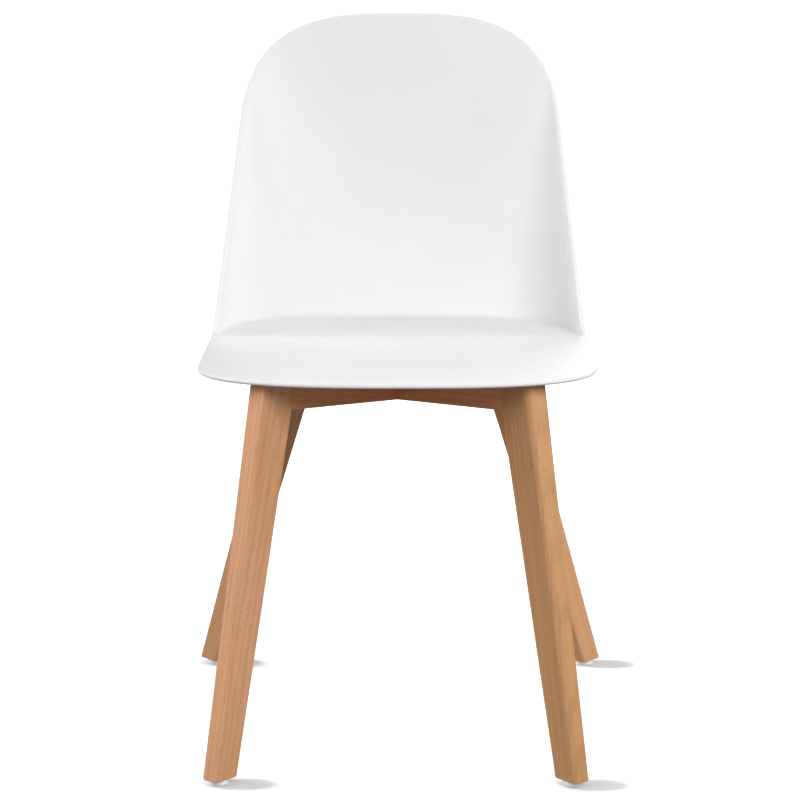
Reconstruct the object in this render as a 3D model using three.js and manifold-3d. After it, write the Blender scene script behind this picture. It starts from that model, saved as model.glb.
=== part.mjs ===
// A dining chair: one moulded plastic shell, bolted to two crossed beech rails with four splayed legs.
// Millimetres, +Z up, and the front of the chair faces -Y. Left and right are as seen from the front.
// The pieces are laid out around the point where the rails cross. The last lines move the whole chair
// so that it stands on Z = 0 with the middle of its bounding box above the origin.
import * as THREE from "three";
import { mergeVertices } from "three/addons/utils/BufferGeometryUtils.js";
import Module from "manifold-3d";

const wasm = await Module();
wasm.setup();

// ---- Driving sizes: clearances ----
const GAP = 0.3;                  // between pieces that touch

// ---- Driving sizes: base ----
const CROSS_ANGLE = 47.7;         // from the X axis to each rail, in degrees
const BASE_TOP = 439.5;           // top face of rails and legs
const RAIL_DEPTH = 44.4;          // depth of the rails where they cross
const JOINT_DEPTH = 32.6;         // depth of the rails where they meet the legs
const TIMBER_THICKNESS = 27;      // thickness of a rail, and of a leg at its top
const FRONT_LEG_REACH = 227.7;    // crossing to the outer edge of a front leg, at its top
const FRONT_FOOT_REACH = 305.4;   // the same at its foot
const BACK_LEG_REACH = 196;       // crossing to the outer edge of a back leg, at its top
const BACK_FOOT_REACH = 372;      // the same at its foot
const KNEE_WIDTH = 47.8;          // width of a leg at the underside of the rail
const FOOT_WIDTH = 34.6;          // width of a leg at its foot
const FOOT_THICKNESS = 22.2;      // thickness of a leg at its foot
const LEG_ROUND_TOP = 2.4;        // rounding of a leg's crisp outer edge at its top
const LEG_SOFT_ROUND = 10;        // the same on its softer edge, the clockwise one from above
const LEG_ROUND_FOOT = 4.6;       // rounding of all its edges at its foot
const JOINT_ROUND = 0.4;          // rounding of its inner edges beside the rail

// ---- Driving sizes: glue joints ----
const DOWEL_DIAMETER = 8;
const DOWEL_LENGTH = 40;
const DOWEL_SPACING = 13;         // between the two dowels of a joint
const DOWEL_CHAMFER = 1;

// ---- Driving sizes: feet ----
const GLIDE_DIAMETER = 19;
const GLIDE_HEIGHT = 6.7;
const GLIDE_ROUND = 2.6;          // rounding of the glide's lower edge
const GLIDE_FLOOR = 2.2;          // plastic under the nail's head
const NAIL_DIAMETER = 3.4;
const NAIL_HEAD_OVERHANG = 2.3;   // shank out to the edge of the head
const NAIL_HEAD_HEIGHT = 1.1;
const NAIL_DEPTH = 18;            // length of nail in the wood
const NAIL_POINT = 4;             // length of its point

// ---- Driving sizes: seat fixings ----
const BOLT_REACH = 112;           // crossing to each seat bolt, along a rail
const BOLT_DIAMETER = 6;
const BOLT_HEAD_OVERHANG = 2;     // shank out to the edge of the head
const BOLT_HEAD_HEIGHT = 6;
const BOLT_SOCKET = 5;            // across the flats of the hexagon
const BOLT_SOCKET_DEPTH = 3;
const BOLT_CHAMFER = 0.6;
const BOLT_TIP_DEPTH = 1;         // top of the insert down to the bolt's tip
const BOLT_GRIP = 25;             // wood between the washers and the top of the rail
const FLAT_WASHER_WIDTH = 3.7;    // its hole out to its edge
const FLAT_WASHER_THICKNESS = 1.2;
const SPRING_WASHER_WIDTH = 2;
const SPRING_WASHER_THICKNESS = 1.6;
const SPRING_WASHER_SPLIT = 14;   // opening of its split, in degrees
const INSERT_WALL = 1.2;
const INSERT_LENGTH = 8;
const BOSS_WALL = 8.7;            // plastic around each insert

// ---- Driving sizes: shell ----
const SHELL_THICKNESS = 5;
const RIM_CLEARANCE = 1.5;        // top of the legs to the underside of the seat's front rim
const SEAT_WIDTH = 450;
const SEAT_WIDEST = -61;          // Y of the widest place, from the crossing
const SEAT_FRONT = -208;          // Y of the front edge
const SEAT_SQUARENESS = 2.75;     // exponent of the rounded front corners
const RIM_FALL = 7;               // middle of the seat down to its rim, at the front
const RIM_RISE = 0.5;             // middle of the seat up to its rim, where the back begins
const CREASE_RISE = 5;            // middle of the seat up to the crease, at the centre
const CREASE_CORNER = 88;         // Y of the two ends of the crease
const CREASE_MIDDLE = 218;        // Y of the crease at the centre
const CREASE_SQUARENESS = 3.6;    // exponent of the crease's rounded corners
const WING_INSET = 8.2;           // the seat's widest place in to the foot of each wing
const CREASE_RADIUS = 12;         // inside radius between seat and back
const CREASE_ANGLE = 100;         // angle between seat and back, in degrees
const FRONT_BAND = 60;            // width of the rolled band along the front edge
const RIM_ROLL = 4;               // exponent of the seat's roll-off: more keeps it flat nearer the rim
const RIM_SWEEP = 18;             // length over which the rim turns up into the back
const BACK_RISE = 376;            // middle of the seat up to the top of the back
const BACK_LEAN = 56;             // the crease back to the top edge, at the centre
const BACK_BOW = 0.25;            // curve of that line: 0 is straight, more is fuller at half height
const BACK_NARROWING = 0.109;     // narrowing of each side for each unit of height
const SHOULDER_DROP = 129;        // top of the back down to where its sides start to round over
const SHOULDER_SQUARENESS = 3;
const WING_LEAN = 0.5;            // how far the wings' front edges lean back for each unit of height
const TOP_SQUARENESS = 2.2;       // exponent of the back's section at its top

// ---- Fineness of the curved surfaces ----
const PATCH = 16;                 // quads along one side of the seat patch, an even number
const WING_SHARE = 1.19;          // stations from the front centre to the foot of a wing, over PATCH
const ARCH_SHARE = 110;           // extra length given to the arched top when spacing the rim's stations
const CREASE_ROWS = 3;            // rows of quads around the crease
const BACK_ROWS = 9;              // rows of quads from the crease to the rim
const RIM_STEPS = 3;              // flats around the rounded rim
const ROUND_STEPS = 3;            // flats around a rounded edge
const TURN_STEPS = 16;            // sides of a turned piece

const CORNERS = [
  { name: "front_right", front: true, turn: -CROSS_ANGLE },
  { name: "back_right", front: false, turn: CROSS_ANGLE },
  { name: "back_left", front: false, turn: 180 - CROSS_ANGLE },
  { name: "front_left", front: true, turn: 180 + CROSS_ANGLE },
];

const radians = THREE.MathUtils.degToRad;
const mix = THREE.MathUtils.lerp;
const smooth = (value, low, high) => THREE.MathUtils.smoothstep(value, low, high);

// ---- Geometry helpers ----

// A geometry from shared vertices and quads, each quad split in two.
function fromQuads(vertices, quads) {
  const geometry = new THREE.BufferGeometry();
  const numbers = vertices.flatMap(({ x, y, z }) => [x, y, z]);
  geometry.setAttribute("position", new THREE.Float32BufferAttribute(numbers, 3));
  geometry.setIndex(quads.flatMap(([a, b, c, d]) => [a, b, c, a, c, d]));
  return geometry;
}

// Closed mesh to manifold solid.
function toSolid(geometry) {
  const bare = geometry.clone();
  bare.deleteAttribute("normal");
  bare.deleteAttribute("uv");
  const merged = mergeVertices(bare, 1e-4);
  return new wasm.Manifold(new wasm.Mesh({
    numProp: 3,
    vertProperties: new Float32Array(merged.attributes.position.array),
    triVerts: new Uint32Array(merged.index.array),
  }));
}

// Manifold solid back to a mesh.
function toGeometry(solid) {
  const mesh = solid.getMesh();
  const geometry = new THREE.BufferGeometry();
  geometry.setAttribute("position", new THREE.BufferAttribute(new Float32Array(mesh.vertProperties), 3));
  geometry.setIndex(new THREE.BufferAttribute(new Uint32Array(mesh.triVerts), 1));
  geometry.computeVertexNormals();
  return geometry;
}

// Takes every cutter away from a body.
function cut(body, cutters) {
  return toGeometry(cutters.reduce((solid, cutter) => solid.subtract(toSolid(cutter)), toSolid(body)));
}

// A piece turned about Z. The profile is a list of [radius, height], going up on the outside.
function turned(profile) {
  const points = profile.map(([radius, height]) => new THREE.Vector2(radius, height));
  return new THREE.LatheGeometry(points, TURN_STEPS).rotateX(Math.PI / 2);
}

// A plain cylinder about Z.
function rod(radius, low, high) {
  return turned([[0, low], [radius, low], [radius, high], [0, high]]);
}

// A straight prism: an outline in the X-Z plane, with its thickness centred on Y = 0.
function slab(outline, thickness) {
  const shape = new THREE.Shape(outline.map(([x, z]) => new THREE.Vector2(x, z)));
  const geometry = new THREE.ExtrudeGeometry(shape, { depth: thickness, bevelEnabled: false });
  return geometry.rotateX(Math.PI / 2).translate(0, thickness / 2, 0);
}

const chair = new THREE.Group();

// Adds a named piece, turned about the vertical axis through the crossing.
function add(name, geometry, material, turn = 0) {
  const mesh = new THREE.Mesh(geometry, material.clone());
  mesh.name = name;
  mesh.rotation.z = radians(turn);
  chair.add(mesh);
}

const PLASTIC = new THREE.MeshStandardMaterial({ color: 0xf2f2f1, roughness: 0.42, metalness: 0 });
const BEECH = new THREE.MeshStandardMaterial({ color: 0xc99b76, roughness: 0.5, metalness: 0 });
const DOWEL_WOOD = new THREE.MeshStandardMaterial({ color: 0xd9b48c, roughness: 0.7, metalness: 0 });
const NYLON = new THREE.MeshStandardMaterial({ color: 0xdedfdf, roughness: 0.4, metalness: 0 });
const STEEL = new THREE.MeshStandardMaterial({ color: 0xb8bbbe, roughness: 0.3, metalness: 1 });
const BRASS = new THREE.MeshStandardMaterial({ color: 0xc8a357, roughness: 0.35, metalness: 1 });

// ---- Legs ----

const LEG_FOOT = GLIDE_HEIGHT + GAP;
const RAIL_BASE = BASE_TOP - RAIL_DEPTH;              // underside of the rails where they cross
const KNEE_HEIGHT = BASE_TOP - JOINT_DEPTH;           // underside of the rails where they meet the legs

// Reach of a leg's outer and inner edges at its top, its knee and its foot.
function legReach(front) {
  const top = front ? FRONT_LEG_REACH : BACK_LEG_REACH;
  const foot = front ? FRONT_FOOT_REACH : BACK_FOOT_REACH;
  const knee = mix(top, foot, (BASE_TOP - KNEE_HEIGHT) / (BASE_TOP - LEG_FOOT));
  const joint = knee - KNEE_WIDTH;
  return {
    joint,
    stations: [
      { height: LEG_FOOT, inner: foot - FOOT_WIDTH, outer: foot, innerRound: LEG_ROUND_FOOT },
      { height: KNEE_HEIGHT, inner: joint, outer: knee, innerRound: JOINT_ROUND },
      { height: BASE_TOP, inner: joint, outer: top, innerRound: JOINT_ROUND },
    ],
    glide: foot - FOOT_WIDTH / 2,
  };
}

// One level section of a leg, a rectangle with a rounding of its own on the inner edges and on each
// outer edge.
function legSection({ height, inner, outer, innerRound }) {
  const along = (BASE_TOP - height) / (BASE_TOP - LEG_FOOT);
  const half = mix(TIMBER_THICKNESS, FOOT_THICKNESS, along) / 2;
  const outerRound = mix(LEG_ROUND_TOP, LEG_ROUND_FOOT, along);
  const softRound = mix(LEG_SOFT_ROUND, LEG_ROUND_FOOT, along);
  const corners = [
    [outer - outerRound, half - outerRound, outerRound, 0],
    [inner + innerRound, half - innerRound, innerRound, 90],
    [inner + innerRound, innerRound - half, innerRound, 180],
    [outer - softRound, softRound - half, softRound, 270],
  ];
  return corners.flatMap(([x, y, radius, start]) => Array.from({ length: ROUND_STEPS + 1 }, (_, step) => {
    const angle = radians(start + (90 * step) / ROUND_STEPS);
    return new THREE.Vector3(x + radius * Math.cos(angle), y + radius * Math.sin(angle), height);
  }));
}

// Skins a stack of sections that all have the same number of points, and closes both ends.
function loft(sections) {
  const count = sections[0].length;
  const vertices = sections.flat();
  const quads = [];
  for (let level = 0; level + 1 < sections.length; level += 1) {
    for (let point = 0; point < count; point += 1) {
      const next = (point + 1) % count;
      const low = level * count;
      quads.push([low + point, low + next, low + count + next, low + count + point]);
    }
  }
  const geometry = fromQuads(vertices, quads);
  const index = [...geometry.index.array];
  const top = vertices.length - count;
  for (let point = 1; point + 1 < count; point += 1) {
    index.push(0, point + 1, point);
    index.push(top, top + point, top + point + 1);
  }
  geometry.setIndex(index);
  return geometry;
}

// Heights of the two dowels of a joint, around the middle of the rail's end.
const DOWEL_MIDDLE = (BASE_TOP + KNEE_HEIGHT) / 2;
const DOWELS = [
  { name: "upper", height: DOWEL_MIDDLE + DOWEL_SPACING / 2 },
  { name: "lower", height: DOWEL_MIDDLE - DOWEL_SPACING / 2 },
];

// Dowel holes along X, centred on a joint. They are a little wider and longer than the dowels.
function dowelHoles(joint) {
  const reach = DOWEL_LENGTH / 2 + GAP;
  return DOWELS.map(({ height }) => rod(DOWEL_DIAMETER / 2 + GAP, -reach, reach)
    .rotateY(Math.PI / 2).translate(joint, 0, height));
}

function leg(front) {
  const { joint, stations, glide } = legReach(front);
  const nailHole = rod(NAIL_DIAMETER / 2 + GAP, LEG_FOOT - 1, LEG_FOOT + NAIL_DEPTH + GAP);
  return cut(loft(stations.map(legSection)), [...dowelHoles(joint), nailHole.translate(glide, 0, 0)]);
}

// A dowel with chamfered ends, along X through the middle of its joint.
function dowel(joint, height) {
  const radius = DOWEL_DIAMETER / 2;
  const end = DOWEL_LENGTH / 2;
  const profile = [
    [0, -end], [radius - DOWEL_CHAMFER, -end], [radius, DOWEL_CHAMFER - end],
    [radius, end - DOWEL_CHAMFER], [radius - DOWEL_CHAMFER, end], [0, end],
  ];
  return turned(profile).rotateY(Math.PI / 2).translate(joint, 0, height);
}

// ---- Glides ----

const NAIL_HEAD_RADIUS = NAIL_DIAMETER / 2 + NAIL_HEAD_OVERHANG;

// A glide seen in section: a flat sole, a rounded edge, and a pocket that holds the nail's head.
function glide(reach) {
  const radius = GLIDE_DIAMETER / 2;
  const profile = [[0, 0]];
  for (let step = 0; step <= ROUND_STEPS + 1; step += 1) {
    const angle = radians((90 * step) / (ROUND_STEPS + 1));
    profile.push([radius - GLIDE_ROUND * (1 - Math.sin(angle)), GLIDE_ROUND * (1 - Math.cos(angle))]);
  }
  const pocketTop = GLIDE_FLOOR + NAIL_HEAD_HEIGHT + 2 * GAP;
  const neck = NAIL_DIAMETER / 2 + GAP;
  const pocket = NAIL_HEAD_RADIUS + GAP;
  profile.push([radius, GLIDE_HEIGHT], [neck, GLIDE_HEIGHT], [neck, pocketTop]);
  profile.push([pocket, pocketTop], [pocket, GLIDE_FLOOR], [0, GLIDE_FLOOR]);
  return turned(profile).translate(reach, 0, 0);
}

function glideNail(reach) {
  const low = GLIDE_FLOOR + GAP;
  const tip = LEG_FOOT + NAIL_DEPTH;
  const profile = [
    [0, low], [NAIL_HEAD_RADIUS, low], [NAIL_HEAD_RADIUS, low + NAIL_HEAD_HEIGHT],
    [NAIL_DIAMETER / 2, low + NAIL_HEAD_HEIGHT], [NAIL_DIAMETER / 2, tip - NAIL_POINT], [0, tip],
  ];
  return turned(profile).translate(reach, 0, 0);
}

// ---- Rails ----

// Heights of the bolted stack, from the top of the rail down to the bolt's head.
const BOLT_SEAT = BASE_TOP - BOLT_GRIP;
const FLAT_WASHER_TOP = BOLT_SEAT - GAP;
const SPRING_WASHER_TOP = FLAT_WASHER_TOP - FLAT_WASHER_THICKNESS - GAP;
const BOLT_HEAD_TOP = SPRING_WASHER_TOP - SPRING_WASHER_THICKNESS - GAP;
const INSERT_BASE = BASE_TOP + 2 * GAP;
const BOLT_TIP = INSERT_BASE + INSERT_LENGTH - BOLT_TIP_DEPTH;

// Radii of the hole that the bolt passes through, and of what stands around it.
const BOLT_HOLE = BOLT_DIAMETER / 2 + GAP;
const FLAT_WASHER_EDGE = BOLT_HOLE + FLAT_WASHER_WIDTH;
const SPRING_WASHER_EDGE = BOLT_HOLE + SPRING_WASHER_WIDTH;
const INSERT_EDGE = BOLT_HOLE + INSERT_WALL;
const INSERT_HOLE = INSERT_EDGE + GAP;

// The two holes in a rail for its seat bolts, each with a counterbore from below.
function boltHoles() {
  return [-BOLT_REACH, BOLT_REACH].flatMap((reach) => [
    rod(BOLT_HOLE, RAIL_BASE, BASE_TOP + 1).translate(reach, 0, 0),
    rod(FLAT_WASHER_EDGE + GAP, RAIL_BASE - 1, BOLT_SEAT).translate(reach, 0, 0),
  ]);
}

// A rail along X: the front joint is on the -X side. Half its depth is cut away for the other rail.
function rail(upper) {
  const front = legReach(true).joint - GAP;
  const back = legReach(false).joint - GAP;
  const outline = [
    [-front, KNEE_HEIGHT], [0, RAIL_BASE], [back, KNEE_HEIGHT], [back, BASE_TOP], [-front, BASE_TOP],
  ];
  const middle = (RAIL_BASE + BASE_TOP) / 2;
  const half = TIMBER_THICKNESS;
  const low = upper ? RAIL_BASE - 1 : middle - GAP / 2;
  const high = upper ? middle + GAP / 2 : BASE_TOP + 1;
  const lap = slab([[-half, low], [half, low], [half, high], [-half, high]], TIMBER_THICKNESS + 2 * GAP);
  lap.rotateZ(radians(upper ? 2 * CROSS_ANGLE : -2 * CROSS_ANGLE));
  const joints = [-legReach(true).joint, legReach(false).joint];
  return cut(slab(outline, TIMBER_THICKNESS), [lap, ...boltHoles(), ...joints.flatMap(dowelHoles)]);
}

// ---- Seat fixings ----

function seatBolt() {
  const shank = BOLT_DIAMETER / 2;
  const head = shank + BOLT_HEAD_OVERHANG;
  const low = BOLT_HEAD_TOP - BOLT_HEAD_HEIGHT;
  const body = turned([
    [0, low], [head - BOLT_CHAMFER, low], [head, low + BOLT_CHAMFER], [head, BOLT_HEAD_TOP],
    [shank, BOLT_HEAD_TOP], [shank, BOLT_TIP - BOLT_CHAMFER], [shank - BOLT_CHAMFER, BOLT_TIP],
    [0, BOLT_TIP],
  ]);
  const corner = BOLT_SOCKET / Math.sqrt(3);
  const socket = new THREE.CylinderGeometry(corner, corner, 2 * BOLT_SOCKET_DEPTH, 6);
  return cut(body, [socket.rotateX(Math.PI / 2).translate(0, 0, low)]).translate(BOLT_REACH, 0, 0);
}

// A ring about Z that the bolt passes through.
function ring(edge, low, high) {
  return turned([[BOLT_HOLE, low], [edge, low], [edge, high], [BOLT_HOLE, high], [BOLT_HOLE, low]]);
}

function flatWasher() {
  const low = FLAT_WASHER_TOP - FLAT_WASHER_THICKNESS;
  return ring(FLAT_WASHER_EDGE, low, FLAT_WASHER_TOP).translate(BOLT_REACH, 0, 0);
}

// A split ring.
function springWasher() {
  const start = radians(SPRING_WASHER_SPLIT / 2);
  const end = 2 * Math.PI - start;
  const shape = new THREE.Shape();
  shape.absarc(0, 0, SPRING_WASHER_EDGE, start, end, false);
  shape.absarc(0, 0, BOLT_HOLE, end, start, true);
  const options = { depth: SPRING_WASHER_THICKNESS, bevelEnabled: false, curveSegments: TURN_STEPS };
  const low = SPRING_WASHER_TOP - SPRING_WASHER_THICKNESS;
  return new THREE.ExtrudeGeometry(shape, options).translate(BOLT_REACH, 0, low);
}

function threadedInsert() {
  return ring(INSERT_EDGE, INSERT_BASE, INSERT_BASE + INSERT_LENGTH).translate(BOLT_REACH, 0, 0);
}

// ---- Shell: the upper face of the seat and the front face of the back ----

const SEAT_MIDDLE = BASE_TOP + RIM_CLEARANCE + SHELL_THICKNESS + RIM_FALL;
const BACK_HEIGHT = SEAT_MIDDLE + BACK_RISE;
const SHOULDER_HEIGHT = BACK_HEIGHT - SHOULDER_DROP;
const CREASE_HALF_WIDTH = SEAT_WIDTH / 2 - WING_INSET;
const RIM_HALF = SHELL_THICKNESS / 2;                 // the rounded rim stands out this far
const HALF_WIDTH = SEAT_WIDTH / 2 - RIM_HALF;         // centre line to the edge of the upper face
const FRONT_DEPTH = SEAT_WIDEST - SEAT_FRONT - RIM_HALF;
const FACE_TOP = BACK_HEIGHT - RIM_HALF;              // top edge of the back's front face

// Length of a ray at an angle to a rounded square of half-width 1.
function squareRay(angle, squareness) {
  const sum = Math.abs(Math.cos(angle)) ** squareness + Math.abs(Math.sin(angle)) ** squareness;
  return sum ** (-1 / squareness);
}

// Half-width of the seat's upper face behind its widest place.
function sideHalfWidth(y) {
  const along = (y - SEAT_WIDEST) / (CREASE_CORNER - SEAT_WIDEST);
  return HALF_WIDTH - (HALF_WIDTH - CREASE_HALF_WIDTH - RIM_HALF) * along ** 2;
}

// How near a place is to the seat's rim: 0 on the centre line, 1 on the rim.
function nearness(x, y) {
  if (y > SEAT_WIDEST) return Math.min(1, Math.abs(x) / sideHalfWidth(Math.min(y, CREASE_CORNER)));
  const across = Math.abs(x) / HALF_WIDTH;
  const forward = (SEAT_WIDEST - y) / FRONT_DEPTH;
  return (across ** SEAT_SQUARENESS + forward ** SEAT_SQUARENESS) ** (1 / SEAT_SQUARENESS);
}

// Height of the seat's upper face.
function seatHeight(x, y) {
  const middle = SEAT_MIDDLE + CREASE_RISE * smooth(y, SEAT_WIDEST, CREASE_MIDDLE) ** 2;
  const rim = SEAT_MIDDLE + mix(-RIM_FALL, RIM_RISE, smooth(y, SEAT_WIDEST, CREASE_CORNER));
  return mix(middle, rim, nearness(x, y) ** RIM_ROLL);
}

// A point on the front face of the back. The angle is 0 on the centre line and +-90 degrees on the
// wings' front edges, and the height is Z.
function backPoint(angle, height) {
  const base = SEAT_MIDDLE + RIM_RISE;
  const rise = (height - base) / (FACE_TOP - base);
  const halfWidth = CREASE_HALF_WIDTH - BACK_NARROWING * (height - base);
  const middle = CREASE_MIDDLE + BACK_LEAN * rise * (1 + BACK_BOW - BACK_BOW * rise);
  const edge = CREASE_CORNER + WING_LEAN * (height - base);
  const squareness = mix(CREASE_SQUARENESS, TOP_SQUARENESS, Math.min(1, Math.max(0, rise)));
  const ray = squareRay(angle, squareness);
  return new THREE.Vector3(
    halfWidth * ray * Math.sin(angle),
    edge + (middle - edge) * ray * Math.cos(angle),
    height,
  );
}

// Where the crease lies for an angle on the back: the back's face cut by the seat's.
function creaseHeight(angle) {
  let height = SEAT_MIDDLE + RIM_RISE;
  for (let pass = 0; pass < 4; pass += 1) {
    const { x, y } = backPoint(angle, height);
    height = seatHeight(x, y);
  }
  return height;
}

// The back's outline, from the foot of a wing (0) to the top of the centre line (1), as an angle and
// a height on the back.
function backOutline(share) {
  const foot = creaseHeight(Math.PI / 2);
  const straight = (SHOULDER_HEIGHT - foot) / (FACE_TOP - foot + ARCH_SHARE);
  if (share <= straight) {
    return { angle: Math.PI / 2, height: mix(foot, SHOULDER_HEIGHT, share / straight) };
  }
  const turn = ((share - straight) / (1 - straight)) * (Math.PI / 2);
  const ray = squareRay(turn, SHOULDER_SQUARENESS);
  const height = SHOULDER_HEIGHT + (FACE_TOP - SHOULDER_HEIGHT) * ray * Math.sin(turn);
  const across = Math.max(0, ray * Math.cos(turn));
  if (across < 1e-9) return { angle: 0, height: FACE_TOP };
  const base = SEAT_MIDDLE + RIM_RISE;
  const rise = (height - base) / (FACE_TOP - base);
  const squareness = mix(CREASE_SQUARENESS, TOP_SQUARENESS, rise);
  const cotangent = Math.max(0, across ** -squareness - 1) ** (1 / squareness);
  return { angle: Math.atan2(1, cotangent), height };
}

// Stations around the seat, from the front centre (0) to the back centre (2 * PATCH) on the right.
// The seat patch has its corners at PATCH / 2 and 3 * PATCH / 2.
const CREASE_START = Math.round(PATCH * WING_SHARE);  // station at the foot of the wing
const FRONT_CORNER = PATCH / 2;
const BACK_CORNER = (3 * PATCH) / 2;

// Place in plan on the seat's edge or, behind the foot of the wing, on the crease.
function edgePoint(station) {
  if (station <= FRONT_CORNER) return frontEdge((station / FRONT_CORNER) * (Math.PI / 4));
  if (station <= CREASE_START) {
    const start = frontEdge(Math.PI / 4);
    const share = (station - FRONT_CORNER) / (CREASE_START - FRONT_CORNER);
    const y = mix(start.y, CREASE_CORNER, share);
    if (y >= SEAT_WIDEST) return new THREE.Vector2(sideHalfWidth(y), y);
    const across = (1 - ((SEAT_WIDEST - y) / FRONT_DEPTH) ** SEAT_SQUARENESS) ** (1 / SEAT_SQUARENESS);
    return new THREE.Vector2(HALF_WIDTH * across, y);
  }
  const angle = creaseAngle(station);
  const { x, y } = backPoint(angle, creaseHeight(angle));
  return new THREE.Vector2(x, y);
}

function frontEdge(angle) {
  const ray = squareRay(angle, SEAT_SQUARENESS);
  const forward = FRONT_DEPTH * ray * Math.cos(angle);
  return new THREE.Vector2(HALF_WIDTH * ray * Math.sin(angle), SEAT_WIDEST - forward);
}

// Angle on the back of a station on the crease.
function creaseAngle(station) {
  if (station <= BACK_CORNER) {
    return mix(Math.PI / 2, Math.PI / 4, (station - CREASE_START) / (BACK_CORNER - CREASE_START));
  }
  return mix(Math.PI / 4, 0, (station - BACK_CORNER) / (2 * PATCH - BACK_CORNER));
}

// Outward normal of the edge or crease in plan.
function edgeNormal(station) {
  const step = 0.02;
  const before = edgePoint(Math.max(0, station - step));
  const after = edgePoint(Math.min(2 * PATCH, station + step));
  if (station <= 0) return new THREE.Vector2(0, -1);
  if (station >= 2 * PATCH) return new THREE.Vector2(0, 1);
  const along = after.sub(before);
  return new THREE.Vector2(along.y, -along.x).normalize();
}

const onSeat = (place) => new THREE.Vector3(place.x, place.y, seatHeight(place.x, place.y));

// One line of points from the seat patch's edge out to the rim, at a station on the right half.
function shellColumn(station) {
  const rows = CREASE_ROWS + BACK_ROWS;
  const edge = edgePoint(station);
  const normal = edgeNormal(station);
  const tangent = CREASE_RADIUS / Math.tan(radians(CREASE_ANGLE / 2));
  const towardsWing = smooth(station, FRONT_CORNER / 2, CREASE_START);
  const band = mix(FRONT_BAND, tangent, towardsWing);
  const start = edge.clone().addScaledVector(normal, -band);
  if (station <= CREASE_START) {
    return Array.from({ length: rows + 1 }, (_, row) => onSeat(start.clone().lerp(edge, row / rows)));
  }
  const angle = creaseAngle(station);
  const low = creaseHeight(angle);
  const share = (station - CREASE_START) / (2 * PATCH - CREASE_START);
  const rim = backOutline(share);
  const onBack = (part) => backPoint(mix(angle, rim.angle, part), mix(low, rim.height, part));
  const rise = rim.height - low;
  const bend = tangent / (tangent + rise);
  const curve = new THREE.QuadraticBezierCurve3(onSeat(start), onBack(0), onBack(bend));
  const points = Array.from({ length: CREASE_ROWS + 1 }, (_, row) => curve.getPoint(row / CREASE_ROWS));
  for (let row = 1; row <= BACK_ROWS; row += 1) points.push(onBack(mix(bend, 1, row / BACK_ROWS)));
  return points;
}

// Rounds the rim where it turns up from the seat into the wing, and moves each column with its end.
function sweepRim(columns) {
  const ends = columns.map((column) => column[column.length - 1].clone());
  const lengths = [0];
  for (let i = 1; i < ends.length; i += 1) lengths.push(lengths[i - 1] + ends[i].distanceTo(ends[i - 1]));
  const corner = lengths[CREASE_START];
  const at = (length) => {
    const next = Math.max(1, lengths.findIndex((value) => value >= length));
    const part = (length - lengths[next - 1]) / (lengths[next] - lengths[next - 1]);
    return ends[next - 1].clone().lerp(ends[next], part);
  };
  const [from, to] = [at(corner - RIM_SWEEP), at(corner + RIM_SWEEP)];
  const curve = new THREE.QuadraticBezierCurve3(from, ends[CREASE_START], to);
  columns.forEach((column, i) => {
    const part = (lengths[i] - corner + RIM_SWEEP) / (2 * RIM_SWEEP);
    if (part <= 0 || part >= 1) return;
    const shift = curve.getPoint(part).sub(ends[i]);
    column.forEach((point, row) => point.addScaledVector(shift, row / (column.length - 1)));
  });
}

const mirrored = (point) => new THREE.Vector3(-point.x, point.y, point.z);

// All columns around the shell, starting at the front centre and going round by the right.
function shellColumns() {
  const right = Array.from({ length: 2 * PATCH + 1 }, (_, station) => shellColumn(station));
  sweepRim(right);
  const left = right.slice(1, -1).reverse().map((column) => column.map(mirrored));
  return [...right, ...left];
}

// The seat inside the columns: a square patch of quads stretched between their inner ends.
function seatPatch(loop) {
  const at = (i) => loop[(i + loop.length) % loop.length];
  const front = (i) => at(i - PATCH / 2);
  const back = (i) => at(5 * PATCH / 2 - i);
  const right = (j) => at(PATCH / 2 + j);
  const left = (j) => at(-PATCH / 2 - j);
  const rows = [];
  for (let j = 0; j <= PATCH; j += 1) {
    const v = j / PATCH;
    const row = [];
    for (let i = 0; i <= PATCH; i += 1) {
      const u = i / PATCH;
      const point = front(i).clone().multiplyScalar(1 - v).addScaledVector(back(i), v);
      point.addScaledVector(left(j), 1 - u).addScaledVector(right(j), u);
      point.addScaledVector(front(0), -(1 - u) * (1 - v)).addScaledVector(front(PATCH), -u * (1 - v));
      point.addScaledVector(back(0), -(1 - u) * v).addScaledVector(back(PATCH), -u * v);
      row.push(i % PATCH && j % PATCH ? onSeat(point) : point);
    }
    rows.push(row);
  }
  return rows;
}

// The upper face as vertices and quads, and the list of the vertices on its rim.
function shellFace() {
  const columns = shellColumns();
  const count = columns.length;
  const depth = columns[0].length;
  const vertices = columns.flat();
  const quads = [];
  for (let i = 0; i < count; i += 1) {
    const here = i * depth;
    const next = ((i + 1) % count) * depth;
    for (let row = 0; row + 1 < depth; row += 1) {
      quads.push([here + row, here + row + 1, next + row + 1, next + row]);
    }
  }
  const patch = seatPatch(columns.map((column) => column[0]));
  const loopIndex = (i) => ((i + count) % count) * depth;
  const ids = patch.map((row, j) => row.map((point, i) => {
    if (j === 0) return loopIndex(i - PATCH / 2);
    if (j === PATCH) return loopIndex(5 * PATCH / 2 - i);
    if (i === PATCH) return loopIndex(PATCH / 2 + j);
    if (i === 0) return loopIndex(-PATCH / 2 - j);
    return vertices.push(point) - 1;
  }));
  for (let j = 0; j < PATCH; j += 1) {
    for (let i = 0; i < PATCH; i += 1) {
      quads.push([ids[j][i], ids[j][i + 1], ids[j + 1][i + 1], ids[j + 1][i]]);
    }
  }
  const rim = columns.map((column, i) => i * depth + depth - 1);
  return { vertices, quads, rim };
}

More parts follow.
